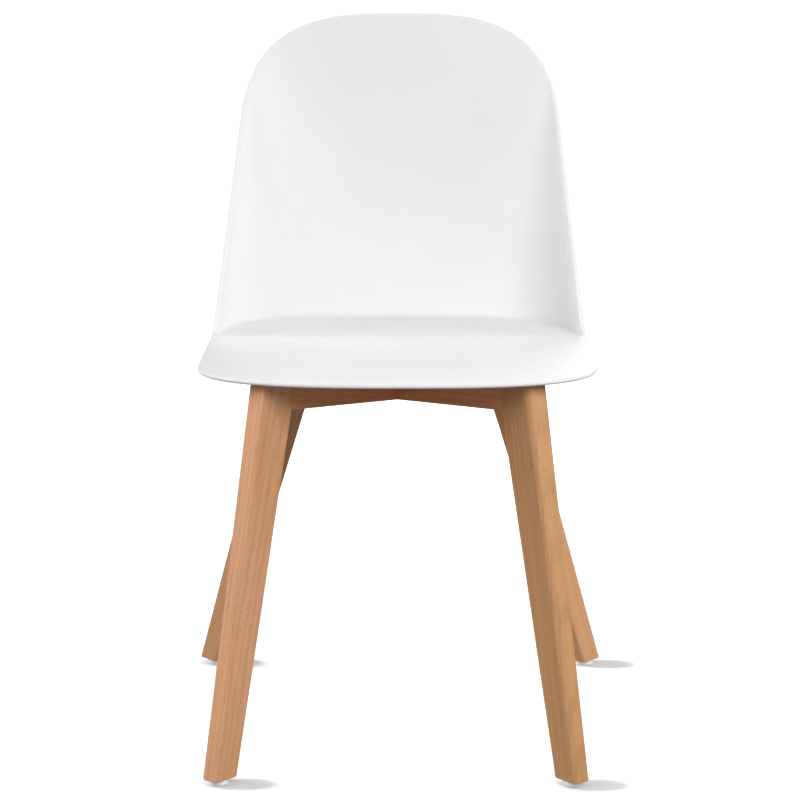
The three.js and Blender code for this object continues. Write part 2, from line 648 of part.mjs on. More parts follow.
// Thickens the upper face downwards and backwards, with a rounded rim.
function shellSheet() {
  const { vertices, quads, rim } = shellFace();
  const face = fromQuads(vertices, quads);
  face.computeVertexNormals();
  const normals = vertices.map((_, i) => new THREE.Vector3().fromBufferAttribute(face.attributes.normal, i));
  const under = vertices.map((point, i) => point.clone().addScaledVector(normals[i], -SHELL_THICKNESS));
  const all = [...vertices, ...under];
  const sheet = [...quads, ...quads.map((quad) => quad.map((i) => i + vertices.length).reverse())];
  let edge = rim;
  for (let step = 1; step <= RIM_STEPS; step += 1) {
    const angle = (Math.PI * step) / RIM_STEPS;
    const next = step === RIM_STEPS ? rim.map((i) => i + vertices.length) : rim.map((i, k) => {
      const after = vertices[rim[(k + 1) % rim.length]];
      const before = vertices[rim[(k - 1 + rim.length) % rim.length]];
      const out = after.clone().sub(before).cross(normals[i]).normalize();
      const point = vertices[i].clone().addScaledVector(normals[i], RIM_HALF * (Math.cos(angle) - 1));
      return all.push(point.addScaledVector(out, RIM_HALF * Math.sin(angle))) - 1;
    });
    edge.forEach((id, k) => {
      const other = (k + 1) % rim.length;
      sheet.push([id, next[k], next[other], edge[other]]);
    });
    edge = next;
  }
  return fromQuads(all, sheet);
}

// The shell with its four bosses, each bored from below for a threaded insert.
function seatShell() {
  let solid = toSolid(shellSheet());
  for (const { turn } of CORNERS) {
    const x = BOLT_REACH * Math.cos(radians(turn));
    const y = BOLT_REACH * Math.sin(radians(turn));
    const top = seatHeight(x, y) - SHELL_THICKNESS / 2;
    solid = solid.add(toSolid(rod(INSERT_HOLE + BOSS_WALL, BASE_TOP + GAP, top).translate(x, y, 0)));
  }
  for (const { turn } of CORNERS) {
    const hole = rod(INSERT_HOLE, BASE_TOP, INSERT_BASE + INSERT_LENGTH + GAP);
    solid = solid.subtract(toSolid(hole.translate(BOLT_REACH, 0, 0).rotateZ(radians(turn))));
  }
  return toGeometry(solid);
}

// ---- Assembly ----

add("seat_shell", seatShell(), PLASTIC);
add("rail_lower", rail(false), BEECH, CROSS_ANGLE);
add("rail_upper", rail(true), BEECH, 180 - CROSS_ANGLE);
for (const { name, front, turn } of CORNERS) {
  const { joint, glide: foot } = legReach(front);
  add(`leg_${name}`, leg(front), BEECH, turn);
  for (const { name: level, height } of DOWELS) {
    add(`dowel_${name}_${level}`, dowel(joint, height), DOWEL_WOOD, turn);
  }
  add(`glide_${name}`, glide(foot), NYLON, turn);
  add(`glide_nail_${name}`, glideNail(foot), STEEL, turn);
  add(`seat_bolt_${name}`, seatBolt(), STEEL, turn);
  add(`spring_washer_${name}`, springWasher(), STEEL, turn);
  add(`flat_washer_${name}`, flatWasher(), STEEL, turn);
  add(`threaded_insert_${name}`, threadedInsert(), BRASS, turn);
}

// Centres the chair's bounding box over the origin.
const box = new THREE.Box3().setFromObject(chair, true);
chair.position.y = -(box.min.y + box.max.y) / 2;

export default chair;
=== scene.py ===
"""A dining chair: one moulded plastic shell on a crossed beech base, in a plain studio.

Lengths are in metres, +Z is up and the front of the chair faces -Y. Left and right are as seen from
the front. The base's pieces are built around the place where the two rails cross, with +X running out
along a rail, and then turned to their corner. The shell is built around the same place, unturned.
"""

import logging
import math
from collections.abc import Callable, Iterable, Sequence
from dataclasses import dataclass, field
from enum import Enum

import bmesh
import bpy
from mathutils import Matrix, Vector


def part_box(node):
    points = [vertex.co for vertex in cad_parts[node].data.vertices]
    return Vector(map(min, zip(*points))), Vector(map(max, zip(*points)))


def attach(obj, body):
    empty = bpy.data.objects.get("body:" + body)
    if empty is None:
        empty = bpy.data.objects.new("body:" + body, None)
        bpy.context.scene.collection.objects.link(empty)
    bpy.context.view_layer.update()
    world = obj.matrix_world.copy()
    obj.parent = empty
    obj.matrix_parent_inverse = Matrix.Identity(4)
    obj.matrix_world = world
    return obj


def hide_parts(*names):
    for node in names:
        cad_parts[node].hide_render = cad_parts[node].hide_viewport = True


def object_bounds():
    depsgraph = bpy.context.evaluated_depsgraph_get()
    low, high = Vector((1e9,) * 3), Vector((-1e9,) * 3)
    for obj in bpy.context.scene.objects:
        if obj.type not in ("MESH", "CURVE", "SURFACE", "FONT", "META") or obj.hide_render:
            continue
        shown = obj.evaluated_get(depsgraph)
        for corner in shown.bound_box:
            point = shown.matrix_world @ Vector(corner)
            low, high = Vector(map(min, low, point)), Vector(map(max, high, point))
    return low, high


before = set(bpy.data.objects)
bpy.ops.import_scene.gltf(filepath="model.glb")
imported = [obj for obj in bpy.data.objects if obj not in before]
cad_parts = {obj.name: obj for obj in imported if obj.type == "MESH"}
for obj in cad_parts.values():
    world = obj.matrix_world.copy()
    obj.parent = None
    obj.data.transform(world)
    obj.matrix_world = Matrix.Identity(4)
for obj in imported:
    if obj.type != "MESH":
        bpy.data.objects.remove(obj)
CAD_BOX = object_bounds()

GAP = 0.0003  # between pieces that touch
TINY = 1e-6   # a length below this counts as nothing
BODY = "root"

log = logging.getLogger("dining_chair")

Point = tuple[float, float, float]
Colour = tuple[float, float, float, float]
Profile = list[tuple[float, float]]
RadiusRule = Callable[[float, float, float], float]


class Corner(Enum):
    """The four corners of the base, each with a leg, a glide and a seat bolt."""

    FRONT_RIGHT = "front_right"
    BACK_RIGHT = "back_right"
    BACK_LEFT = "back_left"
    FRONT_LEFT = "front_left"

    @property
    def is_front(self) -> bool:
        """True for the two corners under the seat's front edge."""
        return self.value.startswith("front")


class Slot(Enum):
    """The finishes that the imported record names."""

    PLASTIC = "shell_plastic"
    LEGS = "beech_legs"
    RAILS = "beech_rails"
    DOWELS = "dowel_wood"
    NYLON = "nylon"
    STEEL = "steel"
    BRASS = "brass"


# ---- Numbers ----


def mix(low: float, high: float, share: float) -> float:
    """The value that lies a share of the way from low to high."""
    return low + (high - low) * share


def clamp(value: float) -> float:
    """The value, held between 0 and 1."""
    return min(1.0, max(0.0, value))


def smooth(value: float, low: float, high: float) -> float:
    """A smooth step from 0 at low to 1 at high."""
    share = clamp((value - low) / (high - low))
    return share * share * (3 - 2 * share)


def square_ray(angle: float, squareness: float) -> float:
    """Length of a ray to the edge of a rounded square.

    Args:
        angle: Direction of the ray, in radians from an axis of the square.
        squareness: The exponent: 2 is a circle, and more is squarer.

    Returns:
        The length, for a square of half-width 1.
    """
    total = abs(math.cos(angle)) ** squareness + abs(math.sin(angle)) ** squareness
    return total ** (-1 / squareness)


# ---- Mesh building ----


def linked(name: str, data: bpy.types.ID) -> bpy.types.Object:
    """An object that holds some data, linked to the scene."""
    thing = bpy.data.objects.new(name, data)
    bpy.context.scene.collection.objects.link(thing)
    return thing


def mesh_object(
    name: str,
    vertices: Iterable[Sequence[float]],
    faces: Iterable[Sequence[int]],
) -> bpy.types.Object:
    """Makes an object from vertices and faces, with its faces turned outwards.

    Args:
        name: Name of the object and its mesh.
        vertices: Corner places.
        faces: Corner numbers of each face.

    Returns:
        The new object, linked to the scene.
    """
    mesh = bpy.data.meshes.new(name)
    mesh.from_pydata([tuple(v) for v in vertices], [], [tuple(f) for f in faces])
    work = bmesh.new()
    work.from_mesh(mesh)
    bmesh.ops.recalc_face_normals(work, faces=work.faces)
    work.to_mesh(mesh)
    work.free()
    return linked(name, mesh)


def soften(piece: bpy.types.Object, sharp_degrees: float = 32.0) -> None:
    """Shades a piece smooth, with its flats kept flat and its real edges kept crisp.

    Args:
        piece: The piece.
        sharp_degrees: Edges that turn by more than this stay sharp.
    """
    piece.data.shade_smooth()
    piece.data.set_sharp_from_angle(angle=math.radians(sharp_degrees))
    even = piece.modifiers.new("level_flats", "WEIGHTED_NORMAL")
    even.keep_sharp = True


def turned(
    name: str,
    profile: Profile,
    sides: int,
    radius_rule: RadiusRule | None = None,
    closed: bool = False,
) -> bpy.types.Object:
    """Turns a profile about Z.

    Args:
        name: Name of the object.
        profile: Radius and height of each point, going up on the outside.
        sides: Number of sides.
        radius_rule: Gives the radius for a radius, a height and an angle, for threads and flutes.
        closed: True for a ring, whose profile joins up with itself clear of the axis.

    Returns:
        The new object.
    """
    vertices: list[Point] = []
    rings: list[list[int]] = []
    for radius, height in profile:
        if radius < TINY:
            vertices.append((0.0, 0.0, height))
            rings.append([len(vertices) - 1] * sides)
            continue
        ring = []
        for side in range(sides):
            angle = math.tau * side / sides
            reach = radius_rule(radius, height, angle) if radius_rule else radius
            ring.append(len(vertices))
            vertices.append((reach * math.cos(angle), reach * math.sin(angle), height))
        rings.append(ring)
    pairs = list(zip(rings, rings[1:]))
    if closed:
        pairs.append((rings[-1], rings[0]))
    faces = []
    for low, high in pairs:
        for side in range(sides):
            after = (side + 1) % sides
            corners = [low[side], low[after], high[after], high[side]]
            faces.append(tuple(dict.fromkeys(corners)))
    return mesh_object(name, vertices, [face for face in faces if len(face) > 2])


def loft(name: str, sections: Sequence[Sequence[Point]]) -> bpy.types.Object:
    """Skins a stack of outlines that have the same number of points, and closes both ends.

    Args:
        name: Name of the object.
        sections: The outlines, in order.

    Returns:
        The new object.
    """
    count = len(sections[0])
    vertices = [point for section in sections for point in section]
    faces: list[tuple[int, ...]] = []
    for level in range(len(sections) - 1):
        low = level * count
        for point in range(count):
            after = (point + 1) % count
            faces.append((low + point, low + after, low + count + after, low + count + point))
    top = len(vertices) - count
    faces.append(tuple(reversed(range(count))))
    faces.append(tuple(range(top, top + count)))
    return mesh_object(name, vertices, faces)


def moved(piece: bpy.types.Object, matrix: Matrix) -> bpy.types.Object:
    """Moves a piece's mesh, and returns the piece."""
    piece.data.transform(matrix)
    return piece


def combine(piece: bpy.types.Object, others: Sequence[bpy.types.Object], operation: str) -> None:
    """Joins other solids to a piece or cuts them out of it, and deletes them.

    Args:
        piece: The piece, whose mesh is replaced.
        others: The other solids, clear of one another.
        operation: UNION or DIFFERENCE.
    """
    work = bmesh.new()
    for other in others:
        work.from_mesh(other.data)
        bpy.data.objects.remove(other)
    tool_mesh = bpy.data.meshes.new("tool")
    work.to_mesh(tool_mesh)
    work.free()
    tool = linked("tool", tool_mesh)
    change = piece.modifiers.new("change", "BOOLEAN")
    change.object = tool
    change.operation = operation
    change.solver = "EXACT"
    shaped = piece.evaluated_get(bpy.context.evaluated_depsgraph_get())
    mesh = bpy.data.meshes.new_from_object(shaped)
    piece.modifiers.clear()
    piece.data = mesh
    mesh.name = piece.name
    bpy.data.objects.remove(tool)


def ease_edges(piece: bpy.types.Object, width: float, segments: int) -> None:
    """Rounds every edge of a plain block.

    Args:
        piece: The block.
        width: How far the rounding reaches from each edge.
        segments: Flats around each edge.
    """
    work = bmesh.new()
    work.from_mesh(piece.data)
    bmesh.ops.bevel(
        work, geom=work.edges[:], offset=width, segments=segments, profile=0.5,
        affect="EDGES", clamp_overlap=True,
    )
    work.to_mesh(piece.data)
    work.free()


def across_axis() -> Matrix:
    """The turn that lays a piece made about Z along X."""
    return Matrix.Rotation(math.pi / 2, 4, "Y")


def shift(x: float, y: float = 0.0, z: float = 0.0) -> Matrix:
    """A move along the axes."""
    return Matrix.Translation((x, y, z))


def bore(radius: float, low: float, high: float, sides: int) -> bpy.types.Object:
    """A plain round cutter about Z, between two heights."""
    return turned("hole", [(0, low), (radius, low), (radius, high), (0, high)], sides)


# ---- Shader building ----


class Signal:
    """A number in a shader. Python's operators on it add Math nodes."""

    def __init__(self, tree: "Nodes", socket: bpy.types.NodeSocket) -> None:
        """Wraps an output socket of a tree."""
        self.tree = tree
        self.socket = socket

    def maths(self, operation: str, *operands: "Signal | float") -> "Signal":
        """Adds a Math node.

        Args:
            operation: The node's operation.
            operands: Its inputs, in order.

        Returns:
            The node's result.
        """
        inputs = dict(enumerate(operands))
        node = self.tree.node("ShaderNodeMath", {"operation": operation}, inputs)
        return Signal(self.tree, node.outputs[0])

    def __add__(self, other: "Signal | float") -> "Signal":
        """The sum."""
        return self.maths("ADD", self, other)

    def __radd__(self, other: float) -> "Signal":
        """The sum, with the number first."""
        return self.maths("ADD", other, self)

    def __sub__(self, other: "Signal | float") -> "Signal":
        """The difference."""
        return self.maths("SUBTRACT", self, other)

    def __rsub__(self, other: float) -> "Signal":
        """The difference, with the number first."""
        return self.maths("SUBTRACT", other, self)

    def __mul__(self, other: "Signal | float") -> "Signal":
        """The product."""
        return self.maths("MULTIPLY", self, other)

    def __rmul__(self, other: float) -> "Signal":
        """The product, with the number first."""
        return self.maths("MULTIPLY", other, self)

    def __pow__(self, other: float) -> "Signal":
        """The power."""
        return self.maths("POWER", self, other)

    def sine(self) -> "Signal":
        """The sine."""
        return self.maths("SINE", self)

    def step(self, low: float, high: float) -> "Signal":
        """A smooth step.

        Args:
            low: Where the result is 0.
            high: Where the result is 1.

        Returns:
            The stepped signal.
        """
        inputs = {"Value": self, "From Min": low, "From Max": high, "To Min": 0.0, "To Max": 1.0}
        node = self.tree.node("ShaderNodeMapRange", {"interpolation_type": "SMOOTHSTEP"}, inputs)
        return Signal(self.tree, node.outputs[0])


Feed = Signal | bpy.types.NodeSocket | float | tuple


class Nodes:
    """A node tree under construction."""

    def __init__(self, tree: bpy.types.NodeTree) -> None:
        """Empties the tree."""
        self.tree = tree
        self.tree.nodes.clear()

    def node(self, kind: str, settings: dict, inputs: dict[str | int, Feed]) -> bpy.types.Node:
        """Adds a node.

        Args:
            kind: The node's type.
            settings: Its properties, set before its inputs.
            inputs: A value or a link for each input, by name or number.

        Returns:
            The new node.
        """
        node = self.tree.nodes.new(kind)
        for key, value in settings.items():
            setattr(node, key, value)
        self.feed(node, inputs)
        return node

    def feed(self, node: bpy.types.Node, inputs: dict[str | int, Feed]) -> None:
        """Sets or links a node's inputs."""
        for key, value in inputs.items():
            socket = node.inputs[key]
            source = value.socket if isinstance(value, Signal) else value
            if isinstance(source, bpy.types.NodeSocket):
                self.tree.links.new(source, socket)
            else:
                socket.default_value = source


class Shade(Nodes):
    """A material under construction."""

    def __init__(self, name: str) -> None:
        """Starts a material with a Principled shader."""
        self.material = bpy.data.materials.new(name)
        self.material.use_nodes = True
        super().__init__(self.material.node_tree)
        self.shader = self.node("ShaderNodeBsdfPrincipled", {}, {})
        self.node("ShaderNodeOutputMaterial", {}, {"Surface": self.shader.outputs[0]})

    def finish(self, inputs: dict[str | int, Feed]) -> bpy.types.Material:
        """Feeds the Principled shader, and returns the material."""
        self.feed(self.shader, inputs)
        return self.material

    def place(self) -> bpy.types.NodeSocket:
        """The coordinates of the chair's frame."""
        return self.node("ShaderNodeTexCoord", {}, {}).outputs["Object"]

    def turned(self, vector: bpy.types.NodeSocket, matrix: Matrix) -> bpy.types.NodeSocket:
        """A vector turned and shifted by a matrix."""
        inputs = {"Vector": vector, "Rotation": matrix.to_euler("XYZ"), "Location": matrix.translation}
        return self.node("ShaderNodeMapping", {"vector_type": "POINT"}, inputs).outputs[0]

    def stretched(self, vector: bpy.types.NodeSocket, factor: Point) -> bpy.types.NodeSocket:
        """A vector multiplied by another."""
        inputs = {0: vector, 1: factor}
        return self.node("ShaderNodeVectorMath", {"operation": "MULTIPLY"}, inputs).outputs[0]

    def length(self, vector: bpy.types.NodeSocket) -> Signal:
        """The length of a vector."""
        node = self.node("ShaderNodeVectorMath", {"operation": "LENGTH"}, {0: vector})
        return Signal(self, node.outputs["Value"])

    def noise(
        self, vector: bpy.types.NodeSocket, scale: float, detail: float = 2.0, rough: float = 0.5
    ) -> Signal:
        """Noise over a vector.

        Args:
            vector: The coordinates.
            scale: Its fineness, in cells for each unit.
            detail: Its number of octaves.
            rough: How strong the finer octaves are.

        Returns:
            The noise, around 0.5.
        """
        inputs = {"Vector": vector, "Scale": scale, "Detail": detail, "Roughness": rough}
        return Signal(self, self.node("ShaderNodeTexNoise", {}, inputs).outputs[0])

    def blend(self, share: Feed, first: Feed, second: Feed) -> bpy.types.NodeSocket:
        """Mixes two colours.

        Args:
            share: How much of the second colour.
            first: The first colour.
            second: The second colour.

        Returns:
            The mixed colour.
        """
        settings = {"data_type": "RGBA", "clamp_factor": True}
        return self.node("ShaderNodeMix", settings, {0: share, 6: first, 7: second}).outputs[2]

    def bump(self, height: Signal, depth: float, strength: float) -> bpy.types.NodeSocket:
        """A normal from a height.

        Args:
            height: The height, from 0 to 1.
            depth: What a height of 1 stands for.
            strength: How much of it shows.

        Returns:
            The normal.
        """
        inputs = {"Height": height, "Distance": depth, "Strength": strength}
        return self.node("ShaderNodeBump", {}, inputs).outputs[0]


# ---- Finishes ----


@dataclass(frozen=True)
class MouldedPlastic:
    """Satin polypropylene with a fine spark-eroded texture, a little smoother where hands rub it."""

    body: Colour = (0.88, 0.882, 0.884, 1)
    warm: Colour = (0.868, 0.868, 0.866, 1)
    cell: float = 0.0007
    depth: float = 0.00006
    cloud_scale: float = 7.0
    rub_scale: float = 22.0

    def material(self) -> bpy.types.Material:
        """Makes the material."""
        shade = Shade("moulded_plastic")
        place = shade.place()
        cloud = shade.noise(place, self.cloud_scale, 2.0)
        grain = shade.noise(place, 1 / self.cell, 3.0, 0.6)
        handled = shade.noise(place, self.rub_scale, 4.0, 0.65).step(0.45, 0.75)
        colour = shade.blend(cloud.step(0.3, 0.7), self.body, self.warm)
        return shade.finish({
            "Base Color": colour,
            "Roughness": 0.48 + 0.06 * grain - 0.05 * handled,
            "Normal": shade.bump(grain, self.depth, 0.35),
            "IOR": 1.49,
            "Specular IOR Level": 0.35,
        })


@dataclass(frozen=True)
class Tone:
    """The natural shade of one timber.

    Attributes:
        warmth: From 0, the yellowest wood, to 1, the rosiest.
        light: 1 is the common shade, and more is lighter.
    """

    warmth: float
    light: float = 1.0

    def lit(self, colour: Colour) -> Colour:
        """A colour of the common shade, as this timber has it."""
        return (*(min(1.0, part * self.light) for part in colour[:3]), 1.0)


@dataclass(frozen=True)
class Figure:
    """One layer of a timber's figure: noise drawn out along the grain.

    Attributes:
        scale: Its fineness across the grain, in cells for each unit.
        draw: Its fineness along the grain, as a share of that.
        detail: Its number of octaves.
        rough: How strong the finer octaves are.
    """

    scale: float
    draw: float
    detail: float
    rough: float = 0.5

    def over(self, shade: Shade, grain: bpy.types.NodeSocket) -> Signal:
        """The layer, over coordinates that run along the grain in Z."""
        drawn = shade.stretched(grain, (1, 1, self.draw))
        return shade.noise(drawn, self.scale, self.detail, self.rough)


@dataclass(frozen=True)
class Beech:
    """Steamed beech under a thin lacquer: soft growth rings, streaks and short dark flecks."""

    pale: Colour = (0.71, 0.380, 0.152, 1)
    rosy: Colour = (0.70, 0.362, 0.205, 1)
    late: Colour = (0.46, 0.205, 0.085, 1)
    fleck: Colour = (0.25, 0.10, 0.038, 1)
    ring: float = 0.0055
    pith: float = 0.075
    slope: float = 0.10
    wander: float = 0.012
    wanders: Figure = Figure(24.0, 0.16, 3.0)
    streaks: Figure = Figure(210.0, 0.035, 3.0, 0.6)
    fibres: Figure = Figure(1400.0, 0.02, 2.0)
    clouds: Figure = Figure(13.0, 0.3, 2.0)
    ring_strength: tuple[float, float] = (0.12, 0.30)
    streak_strength: float = 0.34
    fibre_strength: float = 0.18
    fleck_strength: float = 0.34
    fleck_width: float = 0.0007
    fleck_length: float = 0.0055
    lacquer: float = 0.22

    def material(self, name: str, lie: Matrix, seed: float, tone: Tone) -> bpy.types.Material:
        """Makes the material for one timber.

        Args:
            name: Name of the material.
            lie: Where the timber lies, with its length along the matrix's Z.
            seed: Moves the pattern, so that no two timbers look alike.
            tone: How rosy and how light the timber is.

        Returns:
            The material.
        """
        shade = Shade(name)
        grain = shade.turned(shade.place(), shift(0, 0, seed) @ lie.inverted())
        pith = shift(self.pith, self.pith * (0.6 + 0.3 * math.sin(5 * seed)))
        slope = Matrix.Rotation(self.slope, 4, "X") @ Matrix.Rotation(self.slope * math.cos(7 * seed), 4, "Y")
        flat = shade.stretched(shade.turned(grain, pith @ slope), (1, 1, 0))
        radius = shade.length(flat) + self.wander * self.wanders.over(shade, grain)
        rings = (radius * (math.tau / self.ring)).sine() * 0.5 + 0.5
        streaks = self.streaks.over(shade, grain)
        fibres = self.fibres.over(shade, grain)
        cloud = self.clouds.over(shade, grain)
        specks = Figure(1 / self.fleck_width, self.fleck_width / self.fleck_length, 0.0)
        flecks = specks.over(shade, grain).step(0.66, 0.78)
        late = tone.lit(self.late)
        warmth = cloud.step(0.3, 0.7) * 0.5 + (tone.warmth - 0.25)
        ground = shade.blend(warmth, tone.lit(self.pale), tone.lit(self.rosy))
        faint, strong = self.ring_strength
        lined = shade.blend(rings ** 3 * (faint + strong * cloud), ground, late)
        streaked = shade.blend(streaks.step(0.38, 0.75) * self.streak_strength, lined, late)
        shown = shade.blend(fibres.step(0.35, 0.8) * self.fibre_strength, streaked, late)
        colour = shade.blend(flecks * self.fleck_strength, shown, tone.lit(self.fleck))
        height = fibres * 0.7 + streaks * 0.3 - flecks * 0.5
        return shade.finish({
            "Base Color": colour,
            "Roughness": 0.40 + 0.14 * fibres + 0.08 * flecks,
            "Normal": shade.bump(height, 0.00012, 0.35),
            "IOR": 1.5,
            "Coat Weight": self.lacquer,
            "Coat Roughness": 0.3,
        })


RUDDY: Colour = (0.84, 0.36, 0.14, 1)
LEG_BEECH = Beech()
RAIL_BEECH = Beech(pale=RUDDY, rosy=RUDDY)
BARE_BEECH = Beech(lacquer=0.0)


@dataclass(frozen=True)
class Nylon:
    """Turned white nylon, a little scuffed underneath, with a painted glow in place of light through it."""

    body: Colour = (0.82, 0.83, 0.83, 1)
    scuff: Colour = (0.55, 0.55, 0.54, 1)
    turning: float = 0.0004
    scuff_scale: float = 420.0
    # painted glow: the glide glows in its own colour, though no lamp lights it through
    painted_glow: float = 0.30

    def material(self) -> bpy.types.Material:
        """Makes the material."""
        shade = Shade("glide_nylon")
        place = shade.place()
        scuffs = shade.noise(place, self.scuff_scale, 4.0, 0.7).step(0.5, 0.8)
        levels = shade.noise(shade.stretched(place, (0.02, 0.02, 1)), 1 / self.turning, 1.0)
        colour = shade.blend(scuffs * 0.5, self.body, self.scuff)
        return shade.finish({
            "Base Color": colour,
            # painted glow: the base colour is also emitted, standing in for light passing through the nylon
            "Emission Color": colour,
            "Emission Strength": self.painted_glow,
            "Roughness": 0.32 + 0.2 * scuffs,
            "Normal": shade.bump(levels, 0.00005, 0.3),
            "IOR": 1.53,
        })


@dataclass(frozen=True)
class Metal:
    """A plated or solid metal with fine marks from its making."""

    name: str
    bright: Colour
    dull: Colour
    rough: float
    cloud_scale: float = 260.0
    mark_scale: float = 3200.0

    def material(self) -> bpy.types.Material:
        """Makes the material."""
        shade = Shade(self.name)
        place = shade.place()
        cloud = shade.noise(place, self.cloud_scale, 3.0, 0.6)
        marks = shade.noise(shade.stretched(place, (1, 1, 0.1)), self.mark_scale, 2.0)
        return shade.finish({
            "Base Color": shade.blend(cloud.step(0.35, 0.75), self.bright, self.dull),
            "Roughness": self.rough + 0.16 * cloud * marks,
            "Normal": shade.bump(marks, 0.00003, 0.25),
            "Metallic": 1.0,
        })


ZINC_STEEL = Metal("zinc_steel", (0.70, 0.71, 0.73, 1), (0.52, 0.53, 0.55, 1), 0.26)
BRASS = Metal("insert_brass", (0.80, 0.58, 0.27, 1), (0.62, 0.43, 0.19, 1), 0.3)


@dataclass(frozen=True)
class StudioFloor:
    """Matt white paper that glows a little, with a shadow painted beside each foot: darker paper and no glow
    there.

    Attributes:
        body: Its colour.
        faint: The colour of its faint clouds.
        glow_near: Its glow under the chair.
        glow_far: Its glow far away.
        near: Distance from the chair's middle at which the glow begins to grow.
        far: Distance at which it is full.
        contact: Half-width and half-depth of the painted shadow beside a foot.
        contact_shift: How far the painted shadow lies to the right of its foot.
        contact_core: The part of the painted shadow that is even, before it fades.
        painted_shadow_colour: The paper's colour in the painted shadow.
        cloud_scale: Fineness of its clouds, in cells for each unit.
        tooth_scale: Fineness of its tooth.
    """

    body: Colour = (0.93, 0.93, 0.93, 1)
    faint: Colour = (0.915, 0.915, 0.92, 1)
    glow_near: float = 0.38
    glow_far: float = 1.0
    near: float = 0.5
    far: float = 1.6
    contact: tuple[float, float] = (0.052, 0.028)
    contact_shift: float = 0.026
    contact_core: float = 0.50
    # the colour of the painted shadow beside each foot
    painted_shadow_colour: Colour = (0.76, 0.76, 0.765, 1)
    cloud_scale: float = 1.5
    tooth_scale: float = 900.0

    def material(self, feet: Sequence[Vector]) -> bpy.types.Material:
        """Makes the material.

        Args:
            feet: Where the chair's feet stand; beside each, a shadow is painted: the paper darker and its
                glow held back.

        Returns:
            The material.
        """
        shade = Shade("studio_paper")
        place = shade.place()
        cloud = shade.noise(place, self.cloud_scale, 3.0)
        tooth = shade.noise(place, self.tooth_scale, 2.0)
        away = shade.length(place).step(self.near, self.far)
        near, far = ((glow, glow, glow, 1) for glow in (self.glow_near, self.glow_far))
        glow = shade.blend(away, near, far)
        paper = shade.blend(cloud.step(0.3, 0.7), self.body, self.faint)
        wide, deep = self.contact
        # painted shadow: beside each foot the glow is taken away and the paper darkened
        for foot in feet:
            beside = shade.turned(place, shift(-foot.x - self.contact_shift, -foot.y))
            patch = shade.stretched(beside, (1 / wide, 1 / deep, 0))
            clear = shade.length(patch).step(self.contact_core, 1.0)
            glow = shade.blend(clear, (0, 0, 0, 1), glow)
            paper = shade.blend(clear, self.painted_shadow_colour, paper)
        return shade.finish({
            "Base Color": paper,
            "Roughness": 0.8 + 0.1 * tooth,
            "Normal": shade.bump(tooth, 0.00005, 0.2),
            "Specular IOR Level": 0.2,
            "Emission Color": glow,
            "Emission Strength": 1.0,
        })


# ---- The plan that the sub-assemblies share ----


def install(piece: bpy.types.Object, node: str, material: bpy.types.Material) -> None:
    """Hands a finished piece over to the frame.

    Args:
        piece: The piece, with its mesh in place.
        node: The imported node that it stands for.
        material: The material that it wears.
    """
    piece.data.materials.clear()
    piece.data.materials.append(material)
    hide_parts(node)
    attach(piece, BODY)
    log.info("%s stands for %s with %d faces", piece.name, node, len(piece.data.polygons))


@dataclass
class Plan:
    """Where the rails cross, and how far round each corner lies."""

    crossing: Vector = field(init=False)
    turns: dict[Corner, float] = field(init=False)
    bolt_reach: float = field(init=False)

    def __post_init__(self) -> None:
        """Reads the plan from the four seat bolts."""
        middles = {}
        for corner in Corner:
            low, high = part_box(f"seat_bolt_{corner.value}")
            middles[corner] = (low + high) / 2
        total = sum((place for place in middles.values()), Vector())
        self.crossing = Vector((total.x / len(middles), total.y / len(middles), 0))
        arms = {corner: place - self.crossing for corner, place in middles.items()}
        self.turns = {corner: math.atan2(arm.y, arm.x) for corner, arm in arms.items()}
        self.bolt_reach = sum(arm.xy.length for arm in arms.values()) / len(arms)

    def arm(self, turn: float) -> Matrix:
        """Where a piece goes that was made around the crossing, with its arm along X."""
        return Matrix.Translation(self.crossing) @ Matrix.Rotation(turn, 4, "Z")


@dataclass(frozen=True)
class Tack:
    """The nail of a glide, as the glides and the legs share it."""

    diameter: float = 0.0034
    depth: float = 0.018


@dataclass(frozen=True)
class BoltStack:
    """A seat bolt's sizes that the rails, the shell and the fixings share."""

    diameter: float = 0.006
    grip: float = 0.025
    washer_width: float = 0.0037
    insert_wall: float = 0.0012
    insert_length: float = 0.008

    @property
    def hole(self) -> float:
        """Radius of a hole that clears the bolt's shank."""
        return self.diameter / 2 + GAP

    @property
    def washer_edge(self) -> float:
        """Radius of the flat washer."""
        return self.hole + self.washer_width

    @property
    def insert_edge(self) -> float:
        """Radius of the insert, over its knurls."""
        return self.hole + self.insert_wall


